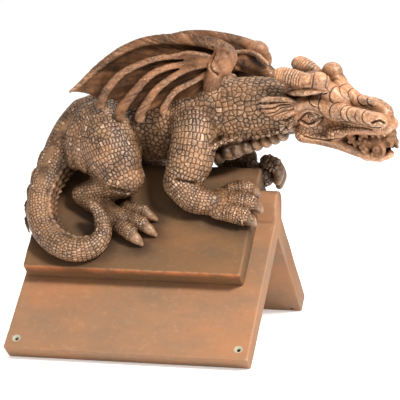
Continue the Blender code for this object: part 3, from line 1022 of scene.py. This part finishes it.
def board_clay(name, colours):
    """Matt clay colour with cloudy stains, darker in its pits, paler on worn edges, with a painted shadow
    under the dragon.
    """
    deep, body, warm, pale, worn = colours
    mat, tree, shader = material(name)
    cloudy = texture(tree, scale=14.0, detail=6.0, roughness=0.62, stretch=(0.7, 1.3, 1.3))
    clouds = ramp(tree, cloudy, 0.36, 0.66)
    colour = blend(tree, clouds, body, warm)
    fine = ramp(tree, texture(tree, scale=160.0, detail=5.0, roughness=0.7), 0.55, 0.75)
    colour = blend(tree, reckon(tree, "MULTIPLY", fine, 0.35), colour, pale)
    dark_specks = ramp(tree, texture(tree, scale=230.0, detail=4.0, roughness=0.7), 0.62, 0.75)
    colour = blend(tree, reckon(tree, "MULTIPLY", dark_specks, 0.45), colour, deep)
    hollow, rim_share = value_of(tree, "hollow"), value_of(tree, "worn_rim")
    colour = blend(tree, ramp(tree, hollow, 0.15, 0.9), colour, deep)
    colour = blend(tree, ramp(tree, hollow, -0.35, -1.2, 0.0, 0.6), colour, pale)
    colour = blend(tree, rim_share, colour, worn)
    # Painted shadow where the board lies under the dragon, a little weaker in the warm clouds.
    dragon_shadow = reckon(tree, "MULTIPLY", value_of(tree, "crack_and_shade"), ramp(tree, clouds, 0.0, 1.0, 0.85, 0.5))
    colour = blend(tree, ramp(tree, dragon_shadow, 0.0, 1.0, 0.0, 0.85), colour, deep)
    tree.links.new(colour, shader.inputs["Base Color"])
    tree.links.new(ramp(tree, clouds, 0.0, 1.0, 0.62, 0.78), shader.inputs["Roughness"])
    shader.inputs["Specular IOR Level"].default_value = 0.15
    grain(tree, shader, scale=700.0, strength=0.45, distance=0.0007)
    return mat


# Base pieces

def cad_forms(node):
    """A solid's faceted mesh as clay, its facets sewn together."""
    bm = bmesh.new()
    bm.from_mesh(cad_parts[node].data)
    bmesh.ops.remove_doubles(bm, verts=bm.verts, dist=0.00002)
    clay = Clay()
    clay.add([v.co for v in bm.verts], [[v.index for v in f.verts] for f in bm.faces], SCALES)
    bm.free()
    return clay


def hole_places():
    """The middle of each screw hole, and the way down its board."""
    half = (saddle_high.x - saddle_low.x) / 2
    middle = (saddle_high.x + saddle_low.x) / 2
    for side in (-1, 1):
        down = Vector((0.0, side * math.cos(saddle_pitch), -math.sin(saddle_pitch)))
        for end in (-1, 1):
            x = middle + end * (half - hole_from_end)
            yield Vector((x, middle_y, ridge_z)) + down * (board_slant - hole_from_edge), down


def worn_rims(points):
    """1 on the pale worn ring round each screw hole."""
    outer, outer_fade, inner, inner_fade, deepest = 0.0046, 0.0008, 0.0016, 0.0004, -0.003
    value = np.zeros(len(points))
    for centre, down in hole_places():
        off = Vector((0.0, -down.z * (1 if down.y > 0 else -1), abs(down.y)))
        away = points - np.array(centre)
        along = away @ np.array(off)
        across = np.linalg.norm(away - along[:, None] * np.array(off), axis=1)
        ring = np.clip((outer - across) / outer_fade, 0, 1) * np.clip((across - inner) / inner_fade, 0, 1)
        value = np.maximum(value, ring * (along > deepest))
    return value


def lower_edge(points):
    """1 on the tile's cut lower edges, which show raw orange clay."""
    value = np.zeros(len(points))
    ridge = np.array(at(0, 0, 0))
    for side in (-1, 1):
        along = (points - ridge) @ np.array(tile_face(side)[0])
        reach = along.max()
        value = np.maximum(value, np.clip((along - reach + 0.0016) / 0.0012, 0, 1))
    return value * np.clip(0.8 + 0.8 * wander(points, 0.012, 2.0), 0.2, 1)


def base_piece(node, name, mat, voxel, pit, triangles):
    """One board or tile with slightly uneven faces, softened corners and small pits."""
    wave, hewn_depth = 0.00035, 0.0008
    skin = fuse(cad_forms(node), voxel)
    skin.points = skin.relaxed(skin.points, 1)
    normals = skin.normals()
    uneven = wander(skin.points, 0.035) * wave
    chips = np.clip(wander(skin.points, 0.008, 5.0) - 0.45, 0, 1) * pit
    edge = np.clip(-skin.hollow(10) / 0.0006, 0, 1)
    skin.push(uneven - chips * (0.25 + 1.2 * edge), normals)
    if node == "ridge_tile":
        hewn = np.clip(wander(skin.points * np.array((1.0, 0.35, 0.35)), 0.006, 9.0), -0.3, 1) * edge
        skin.push(-hewn_depth * hewn, normals)
    skin.points = keep_in_box(skin.points)
    worn = worn_rims(skin.points) if node == "roof_saddle" else lower_edge(skin.points)
    # A board's line value holds only the painted shadow under the dragon.
    values = {"hollow": np.clip(skin.hollow(6) / 0.0004, -2, 2), "worn_rim": worn,
              "crack_and_shade": shadow_under_dragon(skin.points)}
    mesh = lighten(skin.points, skin.quads, triangles)
    carry(mesh, skin.points, values)
    piece(name, mesh, mat, node)


# Figure pieces

def relief(skin, kinds):
    """Raise the scales, cut the lines between them, and return the values the colours use."""
    seeds = scale_seeds(skin)
    edge, own, which = crackle(skin.points, seeds)
    keel_width = 4.5 * unit
    bare = nearness(skin.points, curved([at(*p) for p in keel], 1.0), keel_width)
    scaly = skin.relaxed((kinds == SCALES).astype(float), 2) * (1 - bare)
    pitch = np.array(seeds.pitches)[which] * unit
    crack_and_shade = np.exp(-(edge / (0.06 * pitch + 0.00015)) ** 2)
    flat = 1 - np.exp(-(edge / (0.24 * pitch)) ** 2)
    dome = 1 - np.clip(own / (0.75 * pitch), 0, 1) ** 2
    cell = np.array([chance.random() for _ in seeds.points])[which]
    plateau, bulge, cut, uneven, usual_pitch = 0.00030, 0.00006, 0.00055, 0.00042, 0.0043
    size = pitch / usual_pitch
    height = size * (plateau * flat + bulge * dome - cut * crack_and_shade + uneven * (cell - 0.5))
    skin.push(height * scaly)
    return crack_and_shade * scaly, cell


def figure_values(skin, crack_and_shade, cell):
    """The values the figure's colours use, point by point."""
    fine = skin.hollow(5) / 0.00035
    broad = skin.hollow(40) / 0.0022
    return {"crack_and_shade": crack_and_shade, "cell": cell, "hollow": np.clip(0.6 * fine + 0.4 * broad, -1.5, 1.5),
            "open": openness(skin)}


def painted_shade_places():
    """Where painted shade lies thickest: behind the ears, round the hind feet where they stand on the tile,
    and low on the tail.
    """
    yield at(4, -26, 78), 0.030
    yield at(4, 10, 78), 0.030
    for side in (-1, 1):
        yield on_tile(-134, 86, 10, side), 0.024
    yield on_tile(-200, 112, 12), 0.022


def make_body(mat):
    """The body, limbs and tail: folds pressed in, scales raised, cut in two pieces."""
    fold_width, fold_depth = 0.0022, 0.0030
    skin, kinds = body_skin()
    folds = [[at(*p) for p in line] for line in body_folds]
    spots = along_skin(tree_of(skin.points, skin.quads), folds)
    skin.push(-fold_depth * nearness(skin.points, spots, fold_width))
    crack_and_shade, cell = relief(skin, kinds)
    skin.points = keep_in_box(clear_of_tile(skin.points))
    values = figure_values(skin, crack_and_shade, cell)
    # Painted shade at those places, added to the line values.
    for spot, width in painted_shade_places():
        values["crack_and_shade"] = np.maximum(values["crack_and_shade"], 0.42 * nearness(skin.points, [spot], width))
    values["hollow"] = np.where(kinds == CLAW, np.maximum(values["hollow"], -0.22), values["hollow"])
    mesh = lighten(skin.points, skin.quads, body_triangles)
    carry(mesh, skin.points, values)
    for name, half in zip(("dragon_rear", "dragon_front"), split_along(mesh, at(-104, 0, 0).x)):
        piece(name, half, mat, "dragon")


def wing_fans(points, wrist):
    """Each point's turn about the wrist and its distance, scaled so that noise runs in rays."""
    away = points - np.array(wrist)
    turn = np.arctan2(away[:, 2], -away[:, 0])
    reach = np.linalg.norm(away, axis=1)
    return np.column_stack([turn * 0.11, reach * 0.06, points[:, 1] * 0.2]), reach


def wing_valley_shade(points, place, fans):
    """Painted shade between the ribs and where they meet, broken into streaks, but not on the wrist's knob.
    """
    ridges = []
    for line in ribs + (rim, short_rib, knob_crest):
        ridges += curved([place(p) for p in line], 1.0)
    for line in fold_lines:
        ridges += curved([at(*p) for p in line], 1.0)
    valley_shade = (1 - nearness(points, ridges, 0.0038)) * np.clip(0.8 + 0.5 * wander(fans, 0.004, 7.0), 0, 1)
    valley_shade *= 1 - nearness(points, [place((-31, -47, 112)), at(-15, 48, 117)], 0.020)
    return np.maximum(valley_shade, 0.7 * nearness(points, [place((-64, -53, 112))], 0.018))


def make_wing(side, name, mat):
    """A wing with a creased knob and streaks that run out from its wrist."""
    crease_width, crease_depth, streak_height = 0.0016, 0.0022, 0.00034
    place = wing_place(side)
    clay = wing_clay(side)
    if side > 0:
        far_wing_fold(clay)
    skin = fuse(clay, wing_voxel)
    skin.points = skin.relaxed(skin.points, 3)
    crease = along_skin(tree_of(skin.points, skin.quads), [[place(p) for p in knob_crease]])
    skin.push(-crease_depth * nearness(skin.points, crease, crease_width))
    fans, reach = wing_fans(skin.points, place((-35, -48, 108)))
    skin.push(wander(fans, 0.0022, 3.0) * streak_height * np.clip(reach / 0.05, 0.2, 1))
    skin.points = keep_in_box(skin.points)
    # Painted shade in the wing's valleys.
    valley_shade = wing_valley_shade(skin.points, place, fans)
    values = figure_values(skin, valley_shade, 0.5 + 0.5 * wander(skin.points, 0.006))
    mesh = lighten(skin.points, skin.quads, wing_triangles)
    carry(mesh, skin.points, values)
    piece(name, mesh, mat, "dragon")


# The head's forms in its own measures: forward, toward the near side, up, radius
skull = (((26, 0, 9), (33, 27, 29)), ((44, 0, 12), (24, 22, 22)), ((34, 0, -8), (28, 26, 17)),
         ((35, 0, 27), (20, 20, 16)))
snout = (((56, 0, 2, 19), (84, 1, -9, 14), (110, 1, -15, 11.5)),
         ((64, 13, 6, 11), (86, 13, -1, 9), (102, 13, -4, 8.5), (114, 11, -9, 9.5)),
         ((62, -7, 12, 11), (86, -7, 4, 9), (102, -8, 0, 8.5), (111, -8, -7, 9)))
knobs = {-1: (55, -13, 37), 1: (56, 13, 36)}
brow_bridge = ((58, 11, 30, 9), (66, 8, 21, 9), (76, 6, 13, 8))
cheekbone = ((30, 21, 13, 8), (44, 19, 15, 7.5), (60, 14, 9, 8))
jaw = ((24, 18, -17, 9), (42, 17, -22, 7.5), (62, 14, -30, 6.5), (84, 10, -42, 5.5), (102, 7, -48, 5.5))
upper_lip = ((60, 15, -18, 8), (84, 13, -15, 6), (106, 11, -17, 6), (117, 6, -18, 7))
chin = (((108, 0, -18), (16, 14, 8)), ((94, 0, -48), (21, 10, 7)), ((66, 0, -20), (18, 14, 12)))
upper_lid = ((29, 25, 2, 1.2), (34, 25.5, 8, 1.9), (42, 24.5, 11, 2.2), (50, 22.5, 8.5, 2.0),
             (57, 20.5, 3.5, 1.6), (62, 19.5, 0, 1.0))
lower_lid = ((29, 25.5, -1, 1.1), (35, 24.8, -5, 1.6), (42, 23.8, -6, 1.7), (50, 21.8, -2.5, 1.4),
             (54, 20.8, 1, 1.0))
near_horn = ((40, 16, 39, 9), (31, 16.5, 42, 9.5), (22, 18, 46, 9), (15, 20, 49, 7.5))
far_horn = ((41, -14, 32, 5), (32, -16, 37, 6.8), (23, -18, 41, 8.4), (15, -19.5, 44, 9),
            (10, -20, 45.5, 8.6))
ear_folds = (((-7, 33, 26), (0, 32, 27), (8, 31, 26), (17, 29, 25), (25, 26, 23), (31, 24, 20)),
             ((-9, 34, 21), (-1, 33, 20), (7, 31, 20), (15, 29, 22), (22, 27, 21), (28, 25, 18)),
             ((-7, 34, 16), (0, 33, 15), (8, 31, 15), (16, 29, 17), (23, 27, 17), (28, 26, 14)),
             ((-4, 33, 12), (3, 32, 11), (11, 30, 11), (19, 28, 13), (25, 27, 14), (29, 26, 11)),
             ((0, 31, 8), (6, 31, 7), (14, 29, 7), (21, 28, 9), (27, 27, 11), (31, 26, 9)))
ear_flap = ((31, 22, 10, 5), (24, 22, 3, 6), (14, 22, -1, 5.5), (6, 21, 2, 3.5))
brow_leaf = ((20, 22, 29, 0.8), (30, 24, 29.5, 2.6), (42, 24.5, 29.5, 3.2), (53, 23, 29, 2.4),
             (62, 20, 28, 1.4), (67, 17, 27, 0.6))
brow_ledge = ((17, 20, 29, 2.2), (24, 20, 33, 2.8), (37, 20.5, 35, 3.0), (49, 20, 35, 2.8),
              (60, 19, 32, 2.2), (67, 16, 28, 1.2))
tongue = ((66, 0, -27, 8), (84, 2, -31, 7.5), (98, 4, -32, 7), (108, 6, -34, 6.5))
mouth_floor = (((94, 0, -31), (28, 13, 12)), ((110, 0, -27), (12, 8, 8)), ((114, 1, -31), (8, 7, 7)))


def head_balls(clay, balls, kind):
    """Balls set straight with the head: middle and radii in its own measures."""
    forward, _, up = head_axes()
    for middle, radii in balls:
        ball(clay, in_head(*middle), radii, kind, forward, up)


def head_forms():
    """The skull, the snout with its two ridges, the brow knobs and the jaws."""
    clay = Clay()
    head_balls(clay, skull, HORN)
    for stations in snout:
        tube(clay, headed(stations), HORN)
    for side in (-1, 1):
        head_balls(clay, ((knobs[side], (11.5, 9.5, 11)),), HORN)
        for stations in (brow_bridge, cheekbone, jaw, upper_lip):
            tube(clay, headed(stations, side), HORN)
    head_balls(clay, chin, HORN)
    return clay


# Lines cut into the head on both sides: forward, toward the side, up
deep_lines = (
    ((76, 20, -3), (84, 20, -4), (89, 19, -6), (98, 19, -8), (108, 18, -10), (118, 16, -12)),
    ((30, 26, -16), (38, 25, -19), (48, 24, -21), (57, 22, -23), (64, 19, -21), (68, 16, -20), (77, 15, -17)),
    ((30, 26, 1), (35, 25, 5), (40, 24, 8), (44, 23, 8), (49, 22, 6), (52, 21, 4), (56, 20, 1), (59, 19, -1)),
    ((31, 26, 1), (35, 25, -2), (39, 24, -4), (43, 23, -3), (47, 22, -1), (51, 21, 2)),
    ((28, 26, 1), (27, 25, -3), (24, 24, -6), (17, 22, -8), (10, 21, -7), (4, 20, -4)),
    ((26, 23, 26), (36, 23, 25), (47, 23, 25), (54, 22, 26), (60, 20, 27), (64, 17, 26)),
    ((54, 14, 44), (55, 18, 41), (54, 21, 37), (52, 22, 34)),
)
fine_lines = (
    ((62, 17, -16), (76, 17, -12), (92, 17, -12), (108, 16, -15)),
    ((24, 27, 19), (14, 31, 20), (6, 32, 18), (-3, 34, 18)),
    ((25, 27, 17), (16, 31, 17), (8, 32, 14), (0, 34, 13)),
    ((27, 27, 14), (18, 30, 13), (9, 32, 11), (2, 33, 10)),
    ((22, 27, 22), (14, 30, 23), (6, 32, 23), (-4, 34, 23)),
)
nostril_line = ((112, 19, -7), (116, 18, -6), (120, 16, -6), (123, 13, -10))


def both_sides(lines):
    """The near side's lines, then the same lines on the far side."""
    return [[in_head(f, side * k, u) for f, k, u in line] for side in (1, -1) for line in lines]


def along_skin(tree, lines):
    """The lines laid on a skin, as close points."""
    found = []
    for line in lines:
        for point in curved(line, 0.5):
            near = tree.find_nearest(point)
            if near[0] is not None:
                found.append(near[0])
    return found


def nearness(points, spots, width):
    """1 on the spots, falling to 0 about two widths away."""
    tree = tree_of_points(spots)
    away = np.array([tree.find(point)[2] for point in points])
    return np.exp(-(away / width) ** 2)


# Overlapping plates: centre, half length, half width. Each one lies over those behind it
plates = ((54, 20, 21, 9, 8), (64, 18.5, 14, 9, 14), (67, 6, 31, 9, 11), (72, 10, 20, 8, 9),
          (76, 19, 6, 10, 9.5), (77, 0, 18, 10, 11), (86, -3, 14, 10, 10), (88, 18, 4, 10, 9),
          (94, 17, 3, 9.5, 9), (95, -4, 12, 9, 9), (102, 17, 0, 8, 8), (104, -5, 10, 8, 8),
          (109, 16, -2, 8, 7.5))
far_plates = ((54, -20, 21, 9, 8), (64, -18.5, 14, 9, 14), (76, -17, 7, 10, 9.5), (88, -15, 4, 10, 9),
              (97, -15, 2, 9, 9), (106, -15, -1, 8, 8))


def shingles(points):
    """The lift of each point by the plate it lies on, and how near it is to that plate's rear edge."""
    plate_lift, edge_width = 0.0013, 0.75
    axis = np.array(head_axes()[0])
    lift, edge = np.zeros(len(points)), np.zeros(len(points))
    for f, k, u, long, wide in sorted(plates + far_plates):
        away = (points - np.array(in_head(f, k, u))) / unit
        ahead = away @ axis
        across = np.linalg.norm(away - ahead[:, None] * axis, axis=1)
        reach = np.sqrt((ahead / long) ** 2 + (across / wide) ** 2)
        rear = np.clip(-ahead / long * 0.5 + 0.5, 0, 1)
        near = np.exp(-((1 - reach) * min(long, wide) / edge_width) ** 2) * np.clip(rear * 2.4 - 0.7, 0, 1)
        on = reach < 1
        lift[on] = (plate_lift * rear ** 1.3)[on]
        edge[on] = near[on]
        outside = (reach >= 1) & (reach < 1.25)
        edge[outside] = np.maximum(edge, near)[outside]
    return lift, edge


def eyes(clay):
    """An eyeball between two lids on each side."""
    for side in (-1, 1):
        head_balls(clay, (((42.5, side * 16.8, 2.2), (11, 7.2, 8)),), EYE)
        tube(clay, headed(upper_lid, side), HORN)
        tube(clay, headed(lower_lid, side), HORN)


def eye_rings():
    """Two circles cut round the middle of each eye."""
    lines = []
    forward, _, up = head_axes()
    for side in (-1, 1):
        spot = in_head(43.5, side * 23.5, 2.4)
        for radius in (3.8, 1.9):
            line = []
            for i in range(25):
                angle = 2 * math.pi * i / 24
                line.append(spot + (forward * math.cos(angle) + up * math.sin(angle)) * (radius * unit))
            lines.append(line)
    return lines


def ringed(clay, stations, step, share=0.86):
    """A horn made of close rings round a core."""
    line = smooth_line(stations, step * unit)
    frames = frames_along(line[:, :3])
    for i, row in enumerate(line):
        radius = row[3] / unit
        ball(clay, Vector(row[:3]), (step * 0.72, radius, radius), HORN, frames[i][0], sides=28, rings=9)
    tube(clay, [(Vector(row[:3]), share * row[3] / unit) for row in line], HORN)


def horns(clay):
    """Two short ringed horns; the far one thins toward the front."""
    ringed(clay, headed(near_horn), 3.8)
    ringed(clay, headed(far_horn), 4.3)


def ears(clay):
    """A pointed ear of curved folds behind each eye, a web behind them and a flap below."""
    up = head_axes()[2]
    fold_radii = (1.4, 2.4, 2.7, 2.7, 2.4, 1.8)
    web_radii = (1.0, 3.0, 3.6, 4, 4, 4)
    web_depth = 2.5
    for side in (-1, 1):
        for line in ear_folds:
            points = [in_head(f, side * k, u) for f, k, u in line]
            tube(clay, list(zip(points, fold_radii)), HORN, wide=1.15, across=up)
        web = [in_head(f, side * (k - web_depth), u) for f, k, u in ear_folds[2]]
        tube(clay, list(zip(web, web_radii)), HORN, wide=2.0, across=up)
        tube(clay, headed(ear_flap, side), HORN)


def brow_leaves(clay):
    """A long pointed leaf over each eye, the ledge behind it, and a plate by the near horn."""
    for side in (-1, 1):
        tube(clay, headed(brow_leaf, side), HORN, wide=1.3, across=head_axes()[1])
        tube(clay, headed(brow_ledge, side), HORN)
    head_balls(clay, (((42, 17, 41), (11, 7, 7)),), PLATE)


def mouth(clay):
    """A curled tongue, the lumps round it, and blunt teeth along the upper jaw."""
    forward, near, up = head_axes()
    tube(clay, headed(tongue), MOUTH)
    curl = []
    for i in range(12):
        turn = math.radians(70 - 34 * i)
        reach = 7.6 - 0.42 * i
        spot = in_head(105 + reach * math.cos(turn), 10 + 0.25 * i, -39 + reach * math.sin(turn))
        curl.append((spot, 2.3 - 0.08 * i))
    tube(clay, curl, MOUTH)
    ball(clay, in_head(105, 8, -39), (7, 4.5, 7), MOUTH, forward, up)
    folds = random.Random(5)
    for i in range(120):
        f = folds.uniform(72, 120)
        low = np.interp(f, (72, 90, 108, 120), (-31, -42, -44, -38))
        u = folds.uniform(low, -21)
        reach = np.interp(f, (72, 90, 108, 120), (15.5, 14, 11, 5))
        k = folds.choice((-1, 1)) * (reach - folds.uniform(0, 2.5))
        radii = (folds.uniform(2.0, 4.6), 2.4, folds.uniform(1.8, 3.4))
        lie = forward * folds.uniform(-1, 1) + up * folds.uniform(-1, 1)
        ball(clay, in_head(f, k, u), radii, MOUTH, lie, near)
    head_balls(clay, mouth_floor, MOUTH)
    for side in (-1, 1):
        for i in range(5):
            f = 90 + 6.5 * i
            k = side * (13.0 - 0.16 * i * i)
            tooth = ((f, k, -20, 2.2), (f + 0.5, k, -22.5, 1.8), (f + 1, k, -24, 1.2))
            tube(clay, headed(tooth), CLAW, sides=12)


def cheek_scales(skin):
    """Broad cracked scales on the cheek and small ones on the upper lip, in the head's own measures."""
    axis, side, up = (np.array(v) for v in head_axes())
    away = (skin.points - np.array(head_root)) / unit
    f, k, u = away @ axis, np.abs(away @ side), away @ up
    lip_line = np.interp(f, (28, 48, 62, 78, 100, 120), (-15, -20, -20, -16, -15, -17))
    eye_line = np.interp(f, (22, 34, 50, 62, 84, 100, 120), (-6, -7, -7, -3, -7, -11, -15))
    cheek = (k > 10) & (u > lip_line) & (u < eye_line) & (f > 22) & (f < 122)
    back = (f < 26) & (k < 40) & (u < 8)
    crown = (f < 14) & (u >= 8) & (u < 40) & (k < 28)
    pitches = np.where(cheek, np.interp(f, (30, 66, 90, 120), (4.6, 3.8, 2.8, 2.4)), 3.6)
    chosen = cheek | back | crown
    seeds = Seeds()
    picks = np.nonzero(chosen)[0].tolist()
    chance.shuffle(picks)
    for i in picks:
        seeds.offer(Vector(skin.points[i]), 0.9 * pitches[i] * unit, pitches[i])
    edge, _, which = crackle(skin.points, seeds)
    strength = skin.relaxed(chosen.astype(float), 3)
    crack_and_shade = np.exp(-(edge / (0.06 * pitches * unit + 0.00022)) ** 2) * strength
    cell = np.array([chance.random() for _ in seeds.points])[which]
    return crack_and_shade, cell, strength


def head_cuts():
    """Every line cut into the head, with its width and depth in metres."""
    return ((both_sides(deep_lines), 0.0009, 0.0013), (both_sides(fine_lines), 0.0007, 0.0008),
            (eye_rings(), 0.0007, 0.0012), (both_sides((nostril_line,)), 0.0012, 0.0032))


def head_skin():
    """The skull melted together first, then the crisp parts set on it."""
    soft = fuse(head_forms(), skull_voxel)
    soft.points = soft.relaxed(soft.points, 4)
    clay = clay_of(soft, HORN)
    eyes(clay)
    horns(clay)
    ears(clay)
    brow_leaves(clay)
    mouth(clay)
    skin = fuse(clay, head_voxel)
    kinds = kinds_on(skin, clay)
    skin.points = skin.relaxed(skin.points, 1)
    return skin, kinds


def make_head(mat):
    """The head, with its lines cut, its plates lifted and its cheek scaled."""
    skin, kinds = head_skin()
    tree = tree_of(skin.points, skin.quads)
    cuts_and_shade = np.zeros(len(skin.points))
    normals = skin.normals()
    for lines, width, depth in head_cuts():
        spots = along_skin(tree, lines)
        near = nearness(skin.points, spots, width * (1.0))
        skin.push(-depth * near, normals)
        cuts_and_shade = np.maximum(cuts_and_shade, near)
    lift, edge = shingles(skin.points)
    skin.push(lift - 0.0007 * edge, normals)
    cuts_and_shade = np.maximum(cuts_and_shade, edge)
    crack_and_shade, cell, scaly = cheek_scales(skin)
    skin.push((0.2 * scaly * cell - 0.7 * crack_and_shade) * 0.001, normals)
    # Painted shade: the scaled cheek, crown and back of the head darkened a little all over, for the shade on
    # the cheek.
    cuts_and_shade = np.maximum(cuts_and_shade, np.maximum(0.9 * crack_and_shade, 0.28 * scaly))
    skin.points = keep_in_box(skin.points)
    # Painted shade: the inside of the mouth darkened.
    cuts_and_shade = np.maximum(cuts_and_shade, 0.6 * skin.relaxed((kinds == MOUTH).astype(float), 3))
    values = figure_values(skin, cuts_and_shade, cell * scaly + 0.5 * (1 - scaly))
    # The eyes are kept out of the painted shade and take the pale dry-brushing.
    eye = kinds == EYE
    values["open"][eye] = 1.0
    values["hollow"][eye] = -0.35
    mesh = lighten(skin.points, skin.quads, head_triangles)
    carry(mesh, skin.points, values)
    piece("dragon_head", mesh, mat, "dragon")


# Staging

def soft_light(name, place, size, power, aim):
    """A soft square light turned toward the sculpture."""
    data = bpy.data.lights.new(name, "AREA")
    data.size = size
    data.energy = power
    ob = bpy.data.objects.new(name, data)
    ob.location = place
    ob.rotation_euler = (aim - Vector(place)).to_track_quat("-Z", "Y").to_euler()
    bpy.context.scene.collection.objects.link(ob)


def staging():
    """The camera at the photo's viewing angle, a pale floor and soft studio light."""
    azimuth, elevation = math.radians(12.93), math.radians(9.10)
    distance, focal_pixels, picture_pixels = 2.3, 2187.8, 400
    saddle_middle = Vector(((saddle_low.x + saddle_high.x) / 2, middle_y, ridge_z))
    aim = saddle_middle + Vector((0.03872, 0.00951, 0.00378))
    back = Vector((math.sin(azimuth) * math.cos(elevation), -math.cos(azimuth) * math.cos(elevation),
                   math.sin(elevation)))
    lens = bpy.data.cameras.new("camera")
    lens.sensor_width = 36.0
    lens.lens = 36.0 * focal_pixels / picture_pixels
    lens.clip_end = 20.0
    camera = bpy.data.objects.new("camera", lens)
    camera.location = aim + back * distance
    camera.rotation_euler = (-back).to_track_quat("-Z", "Y").to_euler()
    bpy.context.scene.collection.objects.link(camera)
    bpy.context.scene.camera = camera

    floor = plain_object("floor", [(-6, -6, 0), (6, -6, 0), (6, 6, 0), (-6, 6, 0)], [(0, 1, 2, 3)])
    floor.location.z = cad_low.z - 0.0005
    mat, _, shader = material("pale_floor")
    shader.inputs["Base Color"].default_value = (0.95, 0.95, 0.95, 1)
    shader.inputs["Roughness"].default_value = 0.9
    shader.inputs["Emission Color"].default_value = (1, 1, 1, 1)
    shader.inputs["Emission Strength"].default_value = 0.42
    floor.data.materials.append(mat)

    world = bpy.data.worlds.new("studio")
    world.use_nodes = True
    world.node_tree.nodes["Background"].inputs["Color"].default_value = (1, 1, 1, 1)
    world.node_tree.nodes["Background"].inputs["Strength"].default_value = 0.60
    bpy.context.scene.world = world
    soft_light("key", (0.9, -0.9, 1.3), 0.35, 50, aim)
    soft_light("fill", (-1.3, -0.9, 0.7), 1.0, 3, aim)
    soft_light("top", (0.0, 0.4, 1.5), 0.8, 10, aim)
    bpy.context.scene.view_settings.view_transform = "Standard"


def main():
    """Every material, every piece and the staging."""
    scales = figure_clay("dragon scales", scale_colours, -0.10)
    hide = figure_clay("dragon hide", hide_colours, 0.08)
    webbing = figure_clay("dragon wing", wing_colours, -0.05)
    tile = board_clay("hewn tile clay", tile_colours)
    saddle = board_clay("saddle clay", saddle_colours)
    make_body(scales)
    make_wing(-1, "dragon_wing_near", webbing)
    make_wing(1, "dragon_wing_far", webbing)
    make_head(hide)
    base_piece("ridge_tile", "hewn_tile", tile, voxel=0.0011, pit=0.0012, triangles=60000)
    base_piece("roof_saddle", "worn_saddle", saddle, voxel=0.0012, pit=0.0008, triangles=70000)
    staging()


main()
